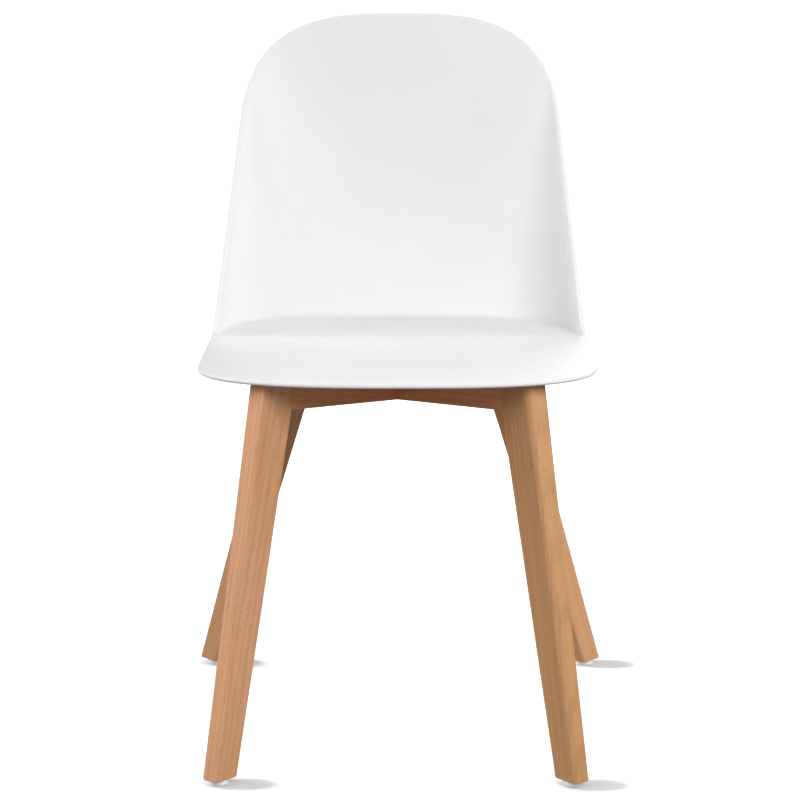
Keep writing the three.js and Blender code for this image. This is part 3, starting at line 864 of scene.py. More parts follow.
@dataclass
class Joint:
    """The base's sizes that legs, rails and dowels share."""

    top: float
    leg_foot: float
    rail_base: float
    joint_depth: float = 0.0326
    thickness: float = 0.027
    front_leg_reach: float = 0.2277
    front_foot_reach: float = 0.3054
    back_leg_reach: float = 0.196
    back_foot_reach: float = 0.372
    knee_width: float = 0.0478
    foot_width: float = 0.0346
    dowel_diameter: float = 0.008
    dowel_length: float = 0.040
    dowel_spacing: float = 0.013
    hole_sides: int = 40

    @property
    def knee(self) -> float:
        """Height of the rails' underside where they meet the legs."""
        return self.top - self.joint_depth

    def reach(self, front: bool) -> tuple[float, float, float]:
        """Reach of a leg's outer edge at its top, its knee and its foot."""
        top = self.front_leg_reach if front else self.back_leg_reach
        foot = self.front_foot_reach if front else self.back_foot_reach
        return top, mix(top, foot, self.joint_depth / (self.top - self.leg_foot)), foot

    def joint(self, front: bool) -> float:
        """Reach of the glue joint between a rail and a leg."""
        return self.reach(front)[1] - self.knee_width

    def glide(self, front: bool) -> float:
        """Reach of the middle of a leg's foot, where its glide is."""
        return self.reach(front)[2] - self.foot_width / 2

    def dowel_heights(self) -> dict[str, float]:
        """Height of each of a joint's two dowels."""
        middle = (self.top + self.knee) / 2
        return {"upper": middle + self.dowel_spacing / 2, "lower": middle - self.dowel_spacing / 2}

    def dowel_holes(self, reach: float) -> list[bpy.types.Object]:
        """Cutters for the dowel holes of the joint at a reach."""
        radius = self.dowel_diameter / 2 + GAP
        end = self.dowel_length / 2 + GAP
        holes = []
        for height in self.dowel_heights().values():
            hole = bore(radius, -end, end, self.hole_sides)
            holes.append(moved(hole, shift(reach, 0, height) @ across_axis()))
        return holes


# ---- Legs ----


@dataclass
class Legs:
    """Four splayed legs, tapering to the foot, each with its clockwise outer edge softer than the rest."""

    plan: Plan
    joint: Joint
    tack: Tack
    finish: Beech
    foot_thickness: float = 0.0222
    round_top: float = 0.0024
    round_soft: float = 0.010
    round_foot: float = 0.0046
    round_joint: float = 0.0004
    end_round: float = 0.0012
    round_steps: int = 8
    end_steps: int = 3
    hole_sides: int = 32
    levels: int = 14
    seed: float = 0.37
    seed_step: float = 0.61
    tones: dict[Corner, Tone] = field(default_factory=lambda: {
        Corner.FRONT_LEFT: Tone(0.80, 1.28),
        Corner.FRONT_RIGHT: Tone(0.12, 1.03),
        Corner.BACK_LEFT: Tone(0.35, 1.08),
        Corner.BACK_RIGHT: Tone(0.32, 1.36),
    })

    def edges(self, height: float, front: bool) -> tuple[float, float, float]:
        """Reach of the inner and outer edges at a height, and the inner edges' rounding."""
        top, knee, foot = self.joint.reach(front)
        if height >= self.joint.knee:
            share = (self.joint.top - height) / self.joint.joint_depth
            return self.joint.joint(front), mix(top, knee, share), self.round_joint
        share = (self.joint.knee - height) / (self.joint.knee - self.joint.leg_foot)
        inner = mix(self.joint.joint(front), foot - self.joint.foot_width, share)
        return inner, mix(knee, foot, share), mix(self.round_joint, self.round_foot, share)

    def section(self, height: float, front: bool, inset: float = 0.0) -> list[Point]:
        """A level outline of a leg.

        Args:
            height: Its height.
            front: True for a front leg.
            inset: How far the outline is drawn in, for the eased ends.

        Returns:
            The outline's points.
        """
        inner, outer, inner_round = self.edges(height, front)
        down = (self.joint.top - height) / (self.joint.top - self.joint.leg_foot)
        half = mix(self.joint.thickness, self.foot_thickness, down) / 2 - inset
        outer_round = mix(self.round_top, self.round_foot, down)
        soft_round = mix(self.round_soft, self.round_foot, down)
        inner += inset
        outer -= inset
        corners = [
            (outer - outer_round, half - outer_round, outer_round, 0),
            (inner + inner_round, half - inner_round, inner_round, 90),
            (inner + inner_round, inner_round - half, inner_round, 180),
            (outer - soft_round, soft_round - half, soft_round, 270),
        ]
        points = []
        for x, y, radius, start in corners:
            for step in range(self.round_steps + 1):
                angle = math.radians(start + 90 * step / self.round_steps)
                points.append((x + radius * math.cos(angle), y + radius * math.sin(angle), height))
        return points

    def build(self, corner: Corner) -> bpy.types.Object:
        """Makes one leg, bored for its dowels and for the glide's nail."""
        front = corner.is_front
        foot, knee, top = self.joint.leg_foot, self.joint.knee, self.joint.top
        sections = []
        for step in range(self.end_steps + 1):
            angle = math.pi / 2 * step / self.end_steps
            rise, inset = self.end_round * (1 - math.cos(angle)), self.end_round * (1 - math.sin(angle))
            sections.append(self.section(foot + rise, front, inset))
        for level in range(1, self.levels):
            sections.append(self.section(mix(foot, knee, level / self.levels), front))
        sections.append(self.section(knee, front))
        sections.append(self.section(top - self.round_joint, front))
        sections.append(self.section(top, front, self.round_joint / 2))
        leg = loft(f"beech_leg_{corner.value}", sections)
        radius, deep = self.tack.diameter / 2 + GAP, foot + self.tack.depth + GAP
        nail_hole = bore(radius, foot - GAP, deep, self.hole_sides)
        moved(nail_hole, shift(self.joint.glide(front)))
        combine(leg, [*self.joint.dowel_holes(self.joint.joint(front)), nail_hole], "DIFFERENCE")
        return leg

    def tilt(self, front: bool) -> float:
        """Angle from Z to the leg's length below the knee."""
        middle_knee = self.joint.reach(front)[1] - self.joint.knee_width / 2
        return math.atan2(middle_knee - self.joint.glide(front), self.joint.knee - self.joint.leg_foot)

    def dress(self) -> None:
        """Builds, finishes and installs the legs."""
        for number, corner in enumerate(Corner):
            arm = self.plan.arm(self.plan.turns[corner])
            leg = moved(self.build(corner), arm)
            soften(leg)
            lie = arm @ Matrix.Rotation(self.tilt(corner.is_front), 4, "Y")
            seed = self.seed + self.seed_step * number
            wood = self.finish.material(f"wood_{leg.name}", lie, seed, self.tones[corner])
            install(leg, f"leg_{corner.value}", wood)


# ---- Rails ----


@dataclass
class Rails:
    """Two crossed rails, halved into each other, each bored for its bolts and dowels."""

    plan: Plan
    joint: Joint
    stack: BoltStack
    finish: Beech
    arris: float = 0.0007
    arris_steps: int = 3
    lap_overcut: float = 0.001
    hole_sides: int = 48
    tone: Tone = Tone(0.0, 1.12)
    seed: float = 3.1
    seed_step: float = 0.7

    def bolt_cutter(self, reach: float) -> bpy.types.Object:
        """A stepped cutter for a bolt hole with its counterbore from below."""
        low, seat = self.joint.rail_base - GAP, self.joint.top - self.stack.grip
        high = self.joint.top + GAP
        hole, pocket = self.stack.hole, self.stack.washer_edge + GAP
        profile = [(0, low), (pocket, low), (pocket, seat), (hole, seat), (hole, high), (0, high)]
        return moved(turned("hole", profile, self.hole_sides), shift(reach))

    def lap_cutter(self, upper: bool, angle: float) -> bpy.types.Object:
        """A block that halves a rail where the other one crosses it."""
        middle = (self.joint.rail_base + self.joint.top) / 2
        low = self.joint.rail_base - self.lap_overcut if upper else middle - GAP / 2
        high = middle + GAP / 2 if upper else self.joint.top + self.lap_overcut
        long, wide = self.joint.thickness, self.joint.thickness / 2 + GAP
        outline = [(-long, -wide), (long, -wide), (long, wide), (-long, wide)]
        block = loft("lap", [[(x, y, z) for x, y in outline] for z in (low, high)])
        return moved(block, Matrix.Rotation(angle, 4, "Z"))

    def build(self, upper: bool) -> bpy.types.Object:
        """Makes a rail along X, its front joint on the -X side."""
        front, back = self.joint.joint(True) - GAP, self.joint.joint(False) - GAP
        base, knee, top = self.joint.rail_base, self.joint.knee, self.joint.top
        outline = [(-front, knee), (0, base), (back, knee), (back, top), (-front, top)]
        half = self.joint.thickness / 2
        rail = loft(
            "beech_rail_upper" if upper else "beech_rail_lower",
            [[(x, y, z) for x, z in outline] for y in (-half, half)],
        )
        ease_edges(rail, self.arris, self.arris_steps)
        between = self.plan.turns[Corner.BACK_LEFT] - self.plan.turns[Corner.BACK_RIGHT]
        reach = self.plan.bolt_reach
        cutters = [self.lap_cutter(upper, -between if upper else between)]
        cutters += [self.bolt_cutter(-reach), self.bolt_cutter(reach)]
        cutters += self.joint.dowel_holes(-self.joint.joint(True))
        cutters += self.joint.dowel_holes(self.joint.joint(False))
        combine(rail, cutters, "DIFFERENCE")
        return rail

    def dress(self) -> None:
        """Builds, finishes and installs both rails."""
        for upper, corner in ((False, Corner.BACK_RIGHT), (True, Corner.BACK_LEFT)):
            arm = self.plan.arm(self.plan.turns[corner])
            rail = moved(self.build(upper), arm)
            soften(rail)
            seed = self.seed + self.seed_step * upper
            wood = self.finish.material(f"wood_{rail.name}", arm @ across_axis(), seed, self.tone)
            install(rail, "rail_upper" if upper else "rail_lower", wood)


@dataclass
class Dowels:
    """Eight fluted dowels, two in each glue joint."""

    plan: Plan
    joint: Joint
    finish: Beech
    chamfer: float = 0.001
    flutes: int = 18
    flute_depth: float = 0.0003
    sides: int = 72
    tone: Tone = Tone(0.1, 1.1)
    seed: float = 5.3

    def radius_at(self, radius: float, height: float, angle: float) -> float:
        """Radius of the fluted rod."""
        groove = max(0.0, math.cos(self.flutes * angle)) ** 2
        return radius - self.flute_depth * groove

    def build(self, name: str) -> bpy.types.Object:
        """Makes a dowel about Z, centred on the origin."""
        radius, end = self.joint.dowel_diameter / 2, self.joint.dowel_length / 2
        profile = [
            (0, -end), (radius - self.chamfer, -end), (radius, self.chamfer - end),
            (radius, end - self.chamfer), (radius - self.chamfer, end), (0, end),
        ]
        return turned(name, profile, self.sides, self.radius_at)

    def dress(self) -> None:
        """Builds, finishes and installs the dowels."""
        for corner in Corner:
            arm = self.plan.arm(self.plan.turns[corner])
            name = f"wood_dowel_{corner.value}"
            wood = self.finish.material(name, arm @ across_axis(), self.seed, self.tone)
            for level, height in self.joint.dowel_heights().items():
                place = shift(self.joint.joint(corner.is_front), 0, height)
                dowel = moved(self.build(f"fluted_dowel_{corner.value}_{level}"), arm @ place @ across_axis())
                soften(dowel)
                install(dowel, f"dowel_{corner.value}_{level}", wood)


# ---- Glides ----


@dataclass
class Glides:
    """A nylon glide under each leg, held by a nail through its middle."""

    plan: Plan
    joint: Joint
    tack: Tack
    nylon: Nylon
    steel: Metal
    diameter: float = 0.019
    height: float = 0.0067
    edge: float = 0.0026
    floor: float = 0.0022
    nail_overhang: float = 0.0023
    nail_head: float = 0.0011
    nail_point: float = 0.004
    sides: int = 64
    edge_steps: int = 10
    ring_pitch: float = 0.0012
    ring_depth: float = 0.00015
    ring_steps: int = 4

    def glide(self, name: str) -> bpy.types.Object:
        """Makes a glide about Z: a flat sole, a rounded edge and a pocket for the nail's head."""
        radius = self.diameter / 2
        profile: Profile = [(0, 0)]
        for step in range(self.edge_steps + 1):
            angle = math.radians(90 * step / self.edge_steps)
            reach = radius - self.edge * (1 - math.sin(angle))
            profile.append((reach, self.edge * (1 - math.cos(angle))))
        arris = self.edge / 8
        pocket_top = self.floor + self.nail_head + 2 * GAP
        neck = self.tack.diameter / 2 + GAP
        pocket = neck + self.nail_overhang
        profile += [(radius, self.height - arris), (radius - arris, self.height), (neck, self.height)]
        profile += [(neck, pocket_top), (pocket, pocket_top), (pocket, self.floor), (0, self.floor)]
        return turned(name, profile, self.sides)

    def ringed(self, radius: float, height: float, angle: float) -> float:
        """Radius of the nail's shank, with rings that grip the wood."""
        shank = self.tack.diameter / 2
        start = self.height + 2 * GAP
        if abs(radius - shank) > TINY or height < start:
            return radius
        return radius - self.ring_depth * ((height - start) / self.ring_pitch % 1.0)

    def nail(self, name: str) -> bpy.types.Object:
        """Makes a nail about Z."""
        low = self.floor + GAP
        tip = self.height + GAP + self.tack.depth
        shank = self.tack.diameter / 2
        head = shank + self.nail_overhang
        brow = self.nail_head / 4
        profile: Profile = [(0, low), (head - brow, low), (head, low + brow)]
        profile += [(head, low + self.nail_head), (shank, low + self.nail_head)]
        length = tip - self.nail_point - low - self.nail_head
        rings = self.ring_steps * round(length / self.ring_pitch)
        for step in range(1, rings + 1):
            profile.append((shank, low + self.nail_head + length * step / rings))
        profile.append((0, tip))
        return turned(name, profile, self.sides // 2, self.ringed)

    def dress(self) -> None:
        """Builds, finishes and installs the glides and their nails."""
        nylon, steel = self.nylon.material(), self.steel.material()
        for corner in Corner:
            place = self.plan.arm(self.plan.turns[corner]) @ shift(self.joint.glide(corner.is_front))
            made = [
                (self.glide(f"foot_glide_{corner.value}"), f"glide_{corner.value}", Slot.NYLON, nylon),
                (self.nail(f"glide_tack_{corner.value}"), f"glide_nail_{corner.value}", Slot.STEEL, steel),
            ]
            for piece, node, slot, material in made:
                moved(piece, place)
                soften(piece)
                install(piece, node, material)


# ---- Seat fixings ----


@dataclass
class SeatFixings:
    """At each corner a socket bolt, a split washer and a flat washer, and a knurled insert above."""

    plan: Plan
    stack: BoltStack
    top: float
    steel: Metal
    brass: Metal
    head_overhang: float = 0.002
    head_height: float = 0.006
    socket_width: float = 0.005
    socket_depth: float = 0.003
    chamfer: float = 0.0006
    flat_washer_thickness: float = 0.0012
    split_washer_width: float = 0.002
    split_washer_thickness: float = 0.0016
    split_degrees: float = 14.0
    tip_depth: float = 0.001
    pitch: float = 0.001
    thread_depth: float = 0.0005
    thread_steps: int = 6
    plain_turns: int = 4
    knurls: int = 28
    knurl_depth: float = 0.0003
    knurl_run_in: float = 0.0003
    knurl_bands: tuple[tuple[float, float], ...] = ((0.0, 0.4), (0.6, 1.0))
    sides: int = 48

    def __post_init__(self) -> None:
        """Works out the heights of the bolted stack, from the rail's top down."""
        self.hole = self.stack.hole
        self.washer_top = self.top - self.stack.grip - GAP
        self.split_top = self.washer_top - self.flat_washer_thickness - GAP
        self.head_top = self.split_top - self.split_washer_thickness - GAP
        self.insert_base = self.top + 2 * GAP
        self.tip = self.insert_base + self.stack.insert_length - self.tip_depth

    def threaded(self, radius: float, height: float, angle: float) -> float:
        """Radius of the bolt's shank, cut by a helical thread."""
        shank = self.stack.diameter / 2
        if abs(radius - shank) > TINY or height < self.head_top + self.plain_turns * self.pitch:
            return radius
        turn = (height / self.pitch - angle / math.tau) % 1.0
        return radius - self.thread_depth * abs(2 * turn - 1)

    def bolt(self, name: str) -> bpy.types.Object:
        """Makes a bolt about Z with a hexagon socket in its head."""
        shank = self.stack.diameter / 2
        head = shank + self.head_overhang
        low = self.head_top - self.head_height
        brow = 1.5 * self.chamfer
        profile: Profile = [(0, low), (head - self.chamfer, low), (head, low + self.chamfer)]
        profile += [(head, self.head_top - brow / 3), (head - brow / 3, self.head_top)]
        rings = round(self.thread_steps * (self.tip - self.chamfer - self.head_top) / self.pitch)
        for step in range(rings + 1):
            profile.append((shank, mix(self.head_top, self.tip - self.chamfer, step / rings)))
        profile += [(shank - self.chamfer, self.tip), (0, self.tip)]
        bolt = turned(name, profile, self.sides // 2, self.threaded)
        corner = self.socket_width / math.sqrt(3)
        depth = self.socket_depth
        outline = [(0, -depth), (corner, -depth), (corner, depth), (0, depth + corner / 3)]
        combine(bolt, [moved(turned("socket", outline, 6), shift(0, 0, low))], "DIFFERENCE")
        return bolt

    def flat_washer(self, name: str) -> bpy.types.Object:
        """Makes a flat washer about Z, with its edges broken."""
        edge, ease = self.stack.washer_edge, self.flat_washer_thickness / 6
        low, high = self.washer_top - self.flat_washer_thickness, self.washer_top
        profile = [
            (self.hole, low), (edge - ease, low), (edge, low + ease),
            (edge, high - ease), (edge - ease, high), (self.hole, high),
        ]
        return turned(name, profile, self.sides, closed=True)

    def split_washer(self, name: str) -> bpy.types.Object:
        """Makes a split washer, whose two ends stand a little apart in height."""
        edge = self.hole + self.split_washer_width
        rise = self.split_washer_thickness / 5
        low, high = self.split_top - self.split_washer_thickness, self.split_top - rise
        ease = self.split_washer_width / 10
        outline = [
            (self.hole + ease, low), (edge - ease, low), (edge, low + ease), (edge, high - ease),
            (edge - ease, high), (self.hole + ease, high), (self.hole, high - ease), (self.hole, low + ease),
        ]
        sections = []
        for step in range(self.sides + 1):
            share = step / self.sides
            angle = math.radians(mix(self.split_degrees / 2, 360 - self.split_degrees / 2, share))
            climb = rise * share
            sections.append([(r * math.cos(angle), r * math.sin(angle), z + climb) for r, z in outline])
        return loft(name, sections)

    def knurled(self, radius: float, height: float, angle: float) -> float:
        """Radius of the insert, with knurls in two bands around a groove."""
        if abs(radius - self.stack.insert_edge) > TINY:
            return radius
        return radius - self.knurl_depth * (0.5 + 0.5 * math.cos(self.knurls * angle))

    def insert(self, name: str) -> bpy.types.Object:
        """Makes a threaded insert about Z."""
        edge = self.stack.insert_edge
        low, high = self.insert_base, self.insert_base + self.stack.insert_length
        groove = edge - self.stack.insert_wall / 2.5
        profile: Profile = [(self.hole, low)]
        for start, end in self.knurl_bands:
            first, last = mix(low, high, start), mix(low, high, end)
            profile += [(groove, first), (edge, first + self.knurl_run_in)]
            profile += [(edge, last - self.knurl_run_in), (groove, last)]
        profile.append((self.hole, high))
        return turned(name, profile, 4 * self.knurls, self.knurled, closed=True)

    def dress(self) -> None:
        """Builds, finishes and installs the fixings."""
        steel, brass = self.steel.material(), self.brass.material()
        for corner in Corner:
            made = [
                (self.bolt(f"socket_bolt_{corner.value}"), "seat_bolt", Slot.STEEL, steel),
                (self.split_washer(f"split_washer_{corner.value}"), "spring_washer", Slot.STEEL, steel),
                (self.flat_washer(f"plain_washer_{corner.value}"), "flat_washer", Slot.STEEL, steel),
                (self.insert(f"brass_insert_{corner.value}"), "threaded_insert", Slot.BRASS, brass),
            ]
            for piece, node, slot, material in made:
                moved(piece, self.plan.arm(self.plan.turns[corner]) @ shift(self.plan.bolt_reach))
                soften(piece)
                install(piece, f"{node}_{corner.value}", material)


# ---- Shell ----


@dataclass
class Shell:
    """The one-piece seat and back: a rolled seat, a soft crease and a back that wraps into wings."""

    plan: Plan
    stack: BoltStack
    base_top: float
    top: float
    finish: MouldedPlastic
    thickness: float = 0.005
    clearance: float = 0.0015
    seat_width: float = 0.450
    widest: float = -0.061
    front: float = -0.208
    seat_squareness: float = 2.75
    rim_fall: float = 0.007
    rim_rise: float = 0.0005
    crease_rise: float = 0.005
    crease_corner: float = 0.088
    crease_middle: float = 0.218
    crease_squareness: float = 3.6
    wing_inset: float = 0.0082
    crease_radius: float = 0.012
    crease_degrees: float = 100.0
    front_band: float = 0.060
    rim_roll: float = 4.0
    rim_sweep: float = 0.018
    back_lean: float = 0.056
    back_bow: float = 0.25
    narrowing: float = 0.109
    shoulder_drop: float = 0.129
    shoulder_squareness: float = 3.0
    wing_lean: float = 0.5
    top_squareness: float = 2.2
    boss_wall: float = 0.0087
    boss_flare: float = 0.0025
    boss_steps: int = 6
    boss_sides: int = 64
    hole_sides: int = 48
    patch: int = 48
    wing_share: float = 1.19
    arch_share: float = 0.110
    crease_rows: int = 10
    back_rows: int = 36
    rim_steps: int = 10
    probe: float = 0.06
    settling: int = 4
    sharp_degrees: float = 40.0

    def __post_init__(self) -> None:
        """Works out the sizes that follow from the others."""
        self.rim_half = self.thickness / 2
        self.middle_height = self.base_top + self.clearance + self.thickness + self.rim_fall
        self.foot_height = self.middle_height + self.rim_rise
        self.face_top = self.top - self.rim_half
        self.shoulder = self.top - self.shoulder_drop
        self.half_width = self.seat_width / 2 - self.rim_half
        self.crease_half = self.seat_width / 2 - self.wing_inset
        self.depth = self.widest - self.front - self.rim_half
        self.wing_station = round(self.patch * self.wing_share)
        self.front_corner = self.patch // 2
        self.back_corner = 3 * self.patch // 2
        self.last = 2 * self.patch
        self.insert_hole = self.stack.insert_edge + GAP

    def side_half_width(self, y: float) -> float:
        """Half-width of the seat's upper face behind its widest place."""
        along = (y - self.widest) / (self.crease_corner - self.widest)
        return self.half_width - (self.half_width - self.crease_half - self.rim_half) * along**2

    def nearness(self, x: float, y: float) -> float:
        """How near a place is to the seat's rim: 0 on the centre line, 1 on the rim."""
        if y > self.widest:
            return min(1.0, abs(x) / self.side_half_width(min(y, self.crease_corner)))
        across, forward = abs(x) / self.half_width, (self.widest - y) / self.depth
        power = self.seat_squareness
        return (across**power + forward**power) ** (1 / power)

    def seat_height(self, x: float, y: float) -> float:
        """Height of the seat's upper face."""
        middle = self.middle_height + self.crease_rise * smooth(y, self.widest, self.crease_middle) ** 2
        fall = mix(-self.rim_fall, self.rim_rise, smooth(y, self.widest, self.crease_corner))
        return mix(middle, self.middle_height + fall, self.nearness(x, y) ** self.rim_roll)

    def on_seat(self, x: float, y: float) -> Vector:
        """The point of the seat's upper face above a place in plan."""
        return Vector((x, y, self.seat_height(x, y)))

    def back_point(self, angle: float, height: float) -> Vector:
        """A point on the back's front face.

        Args:
            angle: 0 on the centre line, and a quarter turn on a wing's front edge.
            height: Its height.

        Returns:
            The point.
        """
        rise = (height - self.foot_height) / (self.face_top - self.foot_height)
        half = self.crease_half - self.narrowing * (height - self.foot_height)
        bow = 1 + self.back_bow - self.back_bow * rise
        middle = self.crease_middle + self.back_lean * rise * bow
        edge = self.crease_corner + self.wing_lean * (height - self.foot_height)
        ray = square_ray(angle, mix(self.crease_squareness, self.top_squareness, clamp(rise)))
        return Vector((half * ray * math.sin(angle), edge + (middle - edge) * ray * math.cos(angle), height))

    def crease_height(self, angle: float) -> float:
        """Height at which the back's face meets the seat's, found in a few rounds."""
        height = self.foot_height
        for _ in range(self.settling):
            point = self.back_point(angle, height)
            height = self.seat_height(point.x, point.y)
        return height

    def back_rim(self, share: float) -> tuple[float, float]:
        """The back's outline.

        Args:
            share: 0 at the foot of a wing, and 1 at the top of the centre line.

        Returns:
            The angle and the height of the point on the back.
        """
        foot = self.crease_height(math.pi / 2)
        straight = (self.shoulder - foot) / (self.face_top - foot + self.arch_share)
        if share <= straight:
            return math.pi / 2, mix(foot, self.shoulder, share / straight)
        turn = (share - straight) / (1 - straight) * math.pi / 2
        ray = square_ray(turn, self.shoulder_squareness)
        height = self.shoulder + (self.face_top - self.shoulder) * ray * math.sin(turn)
        across = max(0.0, ray * math.cos(turn))
        if across < TINY:
            return 0.0, self.face_top
        rise = (height - self.foot_height) / (self.face_top - self.foot_height)
        power = mix(self.crease_squareness, self.top_squareness, rise)
        cotangent = max(0.0, across**-power - 1) ** (1 / power)
        return math.atan2(1, cotangent), height

    def front_edge(self, angle: float) -> Vector:
        """Place in plan on the seat's rounded front edge."""
        ray = square_ray(angle, self.seat_squareness)
        forward = self.depth * ray * math.cos(angle)
        return Vector((self.half_width * ray * math.sin(angle), self.widest - forward))

    def crease_angle(self, station: float) -> float:
        """Angle on the back of a station on the crease."""
        if station <= self.back_corner:
            share = (station - self.wing_station) / (self.back_corner - self.wing_station)
            return mix(math.pi / 2, math.pi / 4, share)
        return mix(math.pi / 4, 0, (station - self.back_corner) / (self.last - self.back_corner))

    def edge_point(self, station: float) -> Vector:
        """Place in plan on the seat's edge or, behind the foot of the wing, on the crease."""
        if station <= self.front_corner:
            return self.front_edge(station / self.front_corner * math.pi / 4)
        if station <= self.wing_station:
            start = self.front_edge(math.pi / 4)
            share = (station - self.front_corner) / (self.wing_station - self.front_corner)
            y = mix(start.y, self.crease_corner, share)
            if y >= self.widest:
                return Vector((self.side_half_width(y), y))
            forward = (self.widest - y) / self.depth
            power = self.seat_squareness
            return Vector((self.half_width * (1 - forward**power) ** (1 / power), y))
        angle = self.crease_angle(station)
        return self.back_point(angle, self.crease_height(angle)).xy

    def edge_normal(self, station: float) -> Vector:
        """Outward normal of the edge or crease, in plan."""
        if station <= 0:
            return Vector((0, -1))
        if station >= self.last:
            return Vector((0, 1))
        after, before = min(self.last, station + self.probe), max(0, station - self.probe)
        along = self.edge_point(after) - self.edge_point(before)
        return Vector((along.y, -along.x)).normalized()

    def column(self, station: int) -> list[Vector]:
        """One line of points from the seat's inner patch out to the rim, on the right half."""
        rows = self.crease_rows + self.back_rows
        edge, normal = self.edge_point(station), self.edge_normal(station)
        tangent = self.crease_radius / math.tan(math.radians(self.crease_degrees / 2))
        band = mix(self.front_band, tangent, smooth(station, self.front_corner / 2, self.wing_station))
        start = edge - normal * band
        if station <= self.wing_station:
            places = [start.lerp(edge, row / rows) for row in range(rows + 1)]
            return [self.on_seat(place.x, place.y) for place in places]
        angle = self.crease_angle(station)
        low = self.crease_height(angle)
        rim_angle, rim_height = self.back_rim((station - self.wing_station) / (self.last - self.wing_station))

        def on_back(part: float) -> Vector:
            """The point a share of the way up the column's part on the back."""
            return self.back_point(mix(angle, rim_angle, part), mix(low, rim_height, part))

        bend = tangent / (tangent + rim_height - low)
        first, middle, last = self.on_seat(start.x, start.y), on_back(0), on_back(bend)
        points = []
        for row in range(self.crease_rows + 1):
            share = row / self.crease_rows
            points.append(first.lerp(middle, share).lerp(middle.lerp(last, share), share))
        points += [on_back(mix(bend, 1, row / self.back_rows)) for row in range(1, self.back_rows + 1)]
        return points

    def sweep_rim(self, columns: list[list[Vector]]) -> None:
        """Rounds the rim where it turns up from the seat into the wing, and moves each column with it."""
        ends = [column[-1].copy() for column in columns]
        lengths = [0.0]
        for before, after in zip(ends, ends[1:]):
            lengths.append(lengths[-1] + (after - before).length)
        corner = lengths[self.wing_station]

        def at(length: float) -> Vector:
            """The point at a length along the rim."""
            after = next(i for i, value in enumerate(lengths) if i and value >= length)
            part = (length - lengths[after - 1]) / (lengths[after] - lengths[after - 1])
            return ends[after - 1].lerp(ends[after], part)

        start, end = at(corner - self.rim_sweep), at(corner + self.rim_sweep)
        middle = ends[self.wing_station]
        for column, place, old in zip(columns, lengths, ends):
            part = (place - corner + self.rim_sweep) / (2 * self.rim_sweep)
            if not 0 < part < 1:
                continue
            shift = start.lerp(middle, part).lerp(middle.lerp(end, part), part) - old
            for row, point in enumerate(column):
                point += shift * (row / (len(column) - 1))

    def columns(self) -> list[list[Vector]]:
        """All columns around the shell, from the front centre round by the right."""
        right = [self.column(station) for station in range(self.last + 1)]
        self.sweep_rim(right)
        left = [[Vector((-p.x, p.y, p.z)) for p in column] for column in reversed(right[1:-1])]
        return right + left

    def upper_face(self) -> tuple[list[Vector], list[tuple[int, ...]], list[int]]:
        """The seat's upper face and the back's front face.

        Returns:
            The vertices, the quads and the numbers of the vertices on the rim.
        """
        columns = self.columns()
        count, depth = len(columns), len(columns[0])
        vertices = [point for column in columns for point in column]
        quads = []
        for i in range(count):
            here, after = i * depth, (i + 1) % count * depth
            for row in range(depth - 1):
                quads.append((here + row, here + row + 1, after + row + 1, after + row))
        ids = self.seat_patch([column[0] for column in columns], vertices, depth)
        for j in range(self.patch):
            for i in range(self.patch):
                quads.append((ids[j][i], ids[j][i + 1], ids[j + 1][i + 1], ids[j + 1][i]))
        return vertices, quads, [i * depth + depth - 1 for i in range(count)]

    def seat_patch(self, loop: list[Vector], vertices: list[Vector], depth: int) -> list[list[int]]:
        """Stretches a square patch between the columns' inner ends.

        Args:
            loop: The columns' inner ends.
            vertices: The vertices so far, to which the patch adds its own.
            depth: Points in one column.

        Returns:
            The vertex numbers of the patch, row by row.
        """
        side, count = self.patch, len(loop)

        def number(i: int, j: int) -> int | None:
            """Place in the loop of a point on the patch's border."""
            if j == 0:
                return (i - side // 2) % count
            if j == side:
                return (5 * side // 2 - i) % count
            if i == side:
                return side // 2 + j
            if i == 0:
                return (-side // 2 - j) % count
            return None

        def border(i: int, j: int) -> Vector:
            """A point on the patch's border."""
            return loop[number(i, j)]

        ids = []
        for j in range(side + 1):
            row = []
            for i in range(side + 1):
                place = number(i, j)
                if place is not None:
                    row.append(place * depth)
                    continue
                u, v = i / side, j / side
                point = border(i, 0) * (1 - v) + border(i, side) * v
                point += border(0, j) * (1 - u) + border(side, j) * u
                point -= (border(0, 0) * (1 - u) + border(side, 0) * u) * (1 - v)
                point -= (border(0, side) * (1 - u) + border(side, side) * u) * v
                vertices.append(self.on_seat(point.x, point.y))
                row.append(len(vertices) - 1)
            ids.append(row)
        return ids

    def sheet(self) -> bpy.types.Object:
        """Thickens the upper face downwards and backwards, with a rounded rim."""
        vertices, quads, rim = self.upper_face()
        face = bpy.data.meshes.new("face")
        face.from_pydata([tuple(v) for v in vertices], [], quads)
        normals = [vertex.normal.copy() for vertex in face.vertices]
        if normals[self.seat_centre(vertices)].z < 0:
            normals = [-normal for normal in normals]
        bpy.data.meshes.remove(face)
        count = len(vertices)
        under = [point - normal * self.thickness for point, normal in zip(vertices, normals)]
        points = vertices + under
        faces = quads + [tuple(i + count for i in reversed(quad)) for quad in quads]
        edge = rim
        for step in range(1, self.rim_steps + 1):
            angle = math.pi * step / self.rim_steps
            if step == self.rim_steps:
                ring = [i + count for i in rim]
            else:
                ring = []
                for k, i in enumerate(rim):
                    along = vertices[rim[(k + 1) % len(rim)]] - vertices[rim[k - 1]]
                    out = along.cross(normals[i]).normalized()
                    drop = normals[i] * (self.rim_half * (math.cos(angle) - 1))
                    points.append(vertices[i] + drop + out * (self.rim_half * math.sin(angle)))
                    ring.append(len(points) - 1)
            for k, i in enumerate(edge):
                after = (k + 1) % len(rim)
                faces.append((i, ring[k], ring[after], edge[after]))
            edge = ring
        return mesh_object("moulded_shell", points, faces)

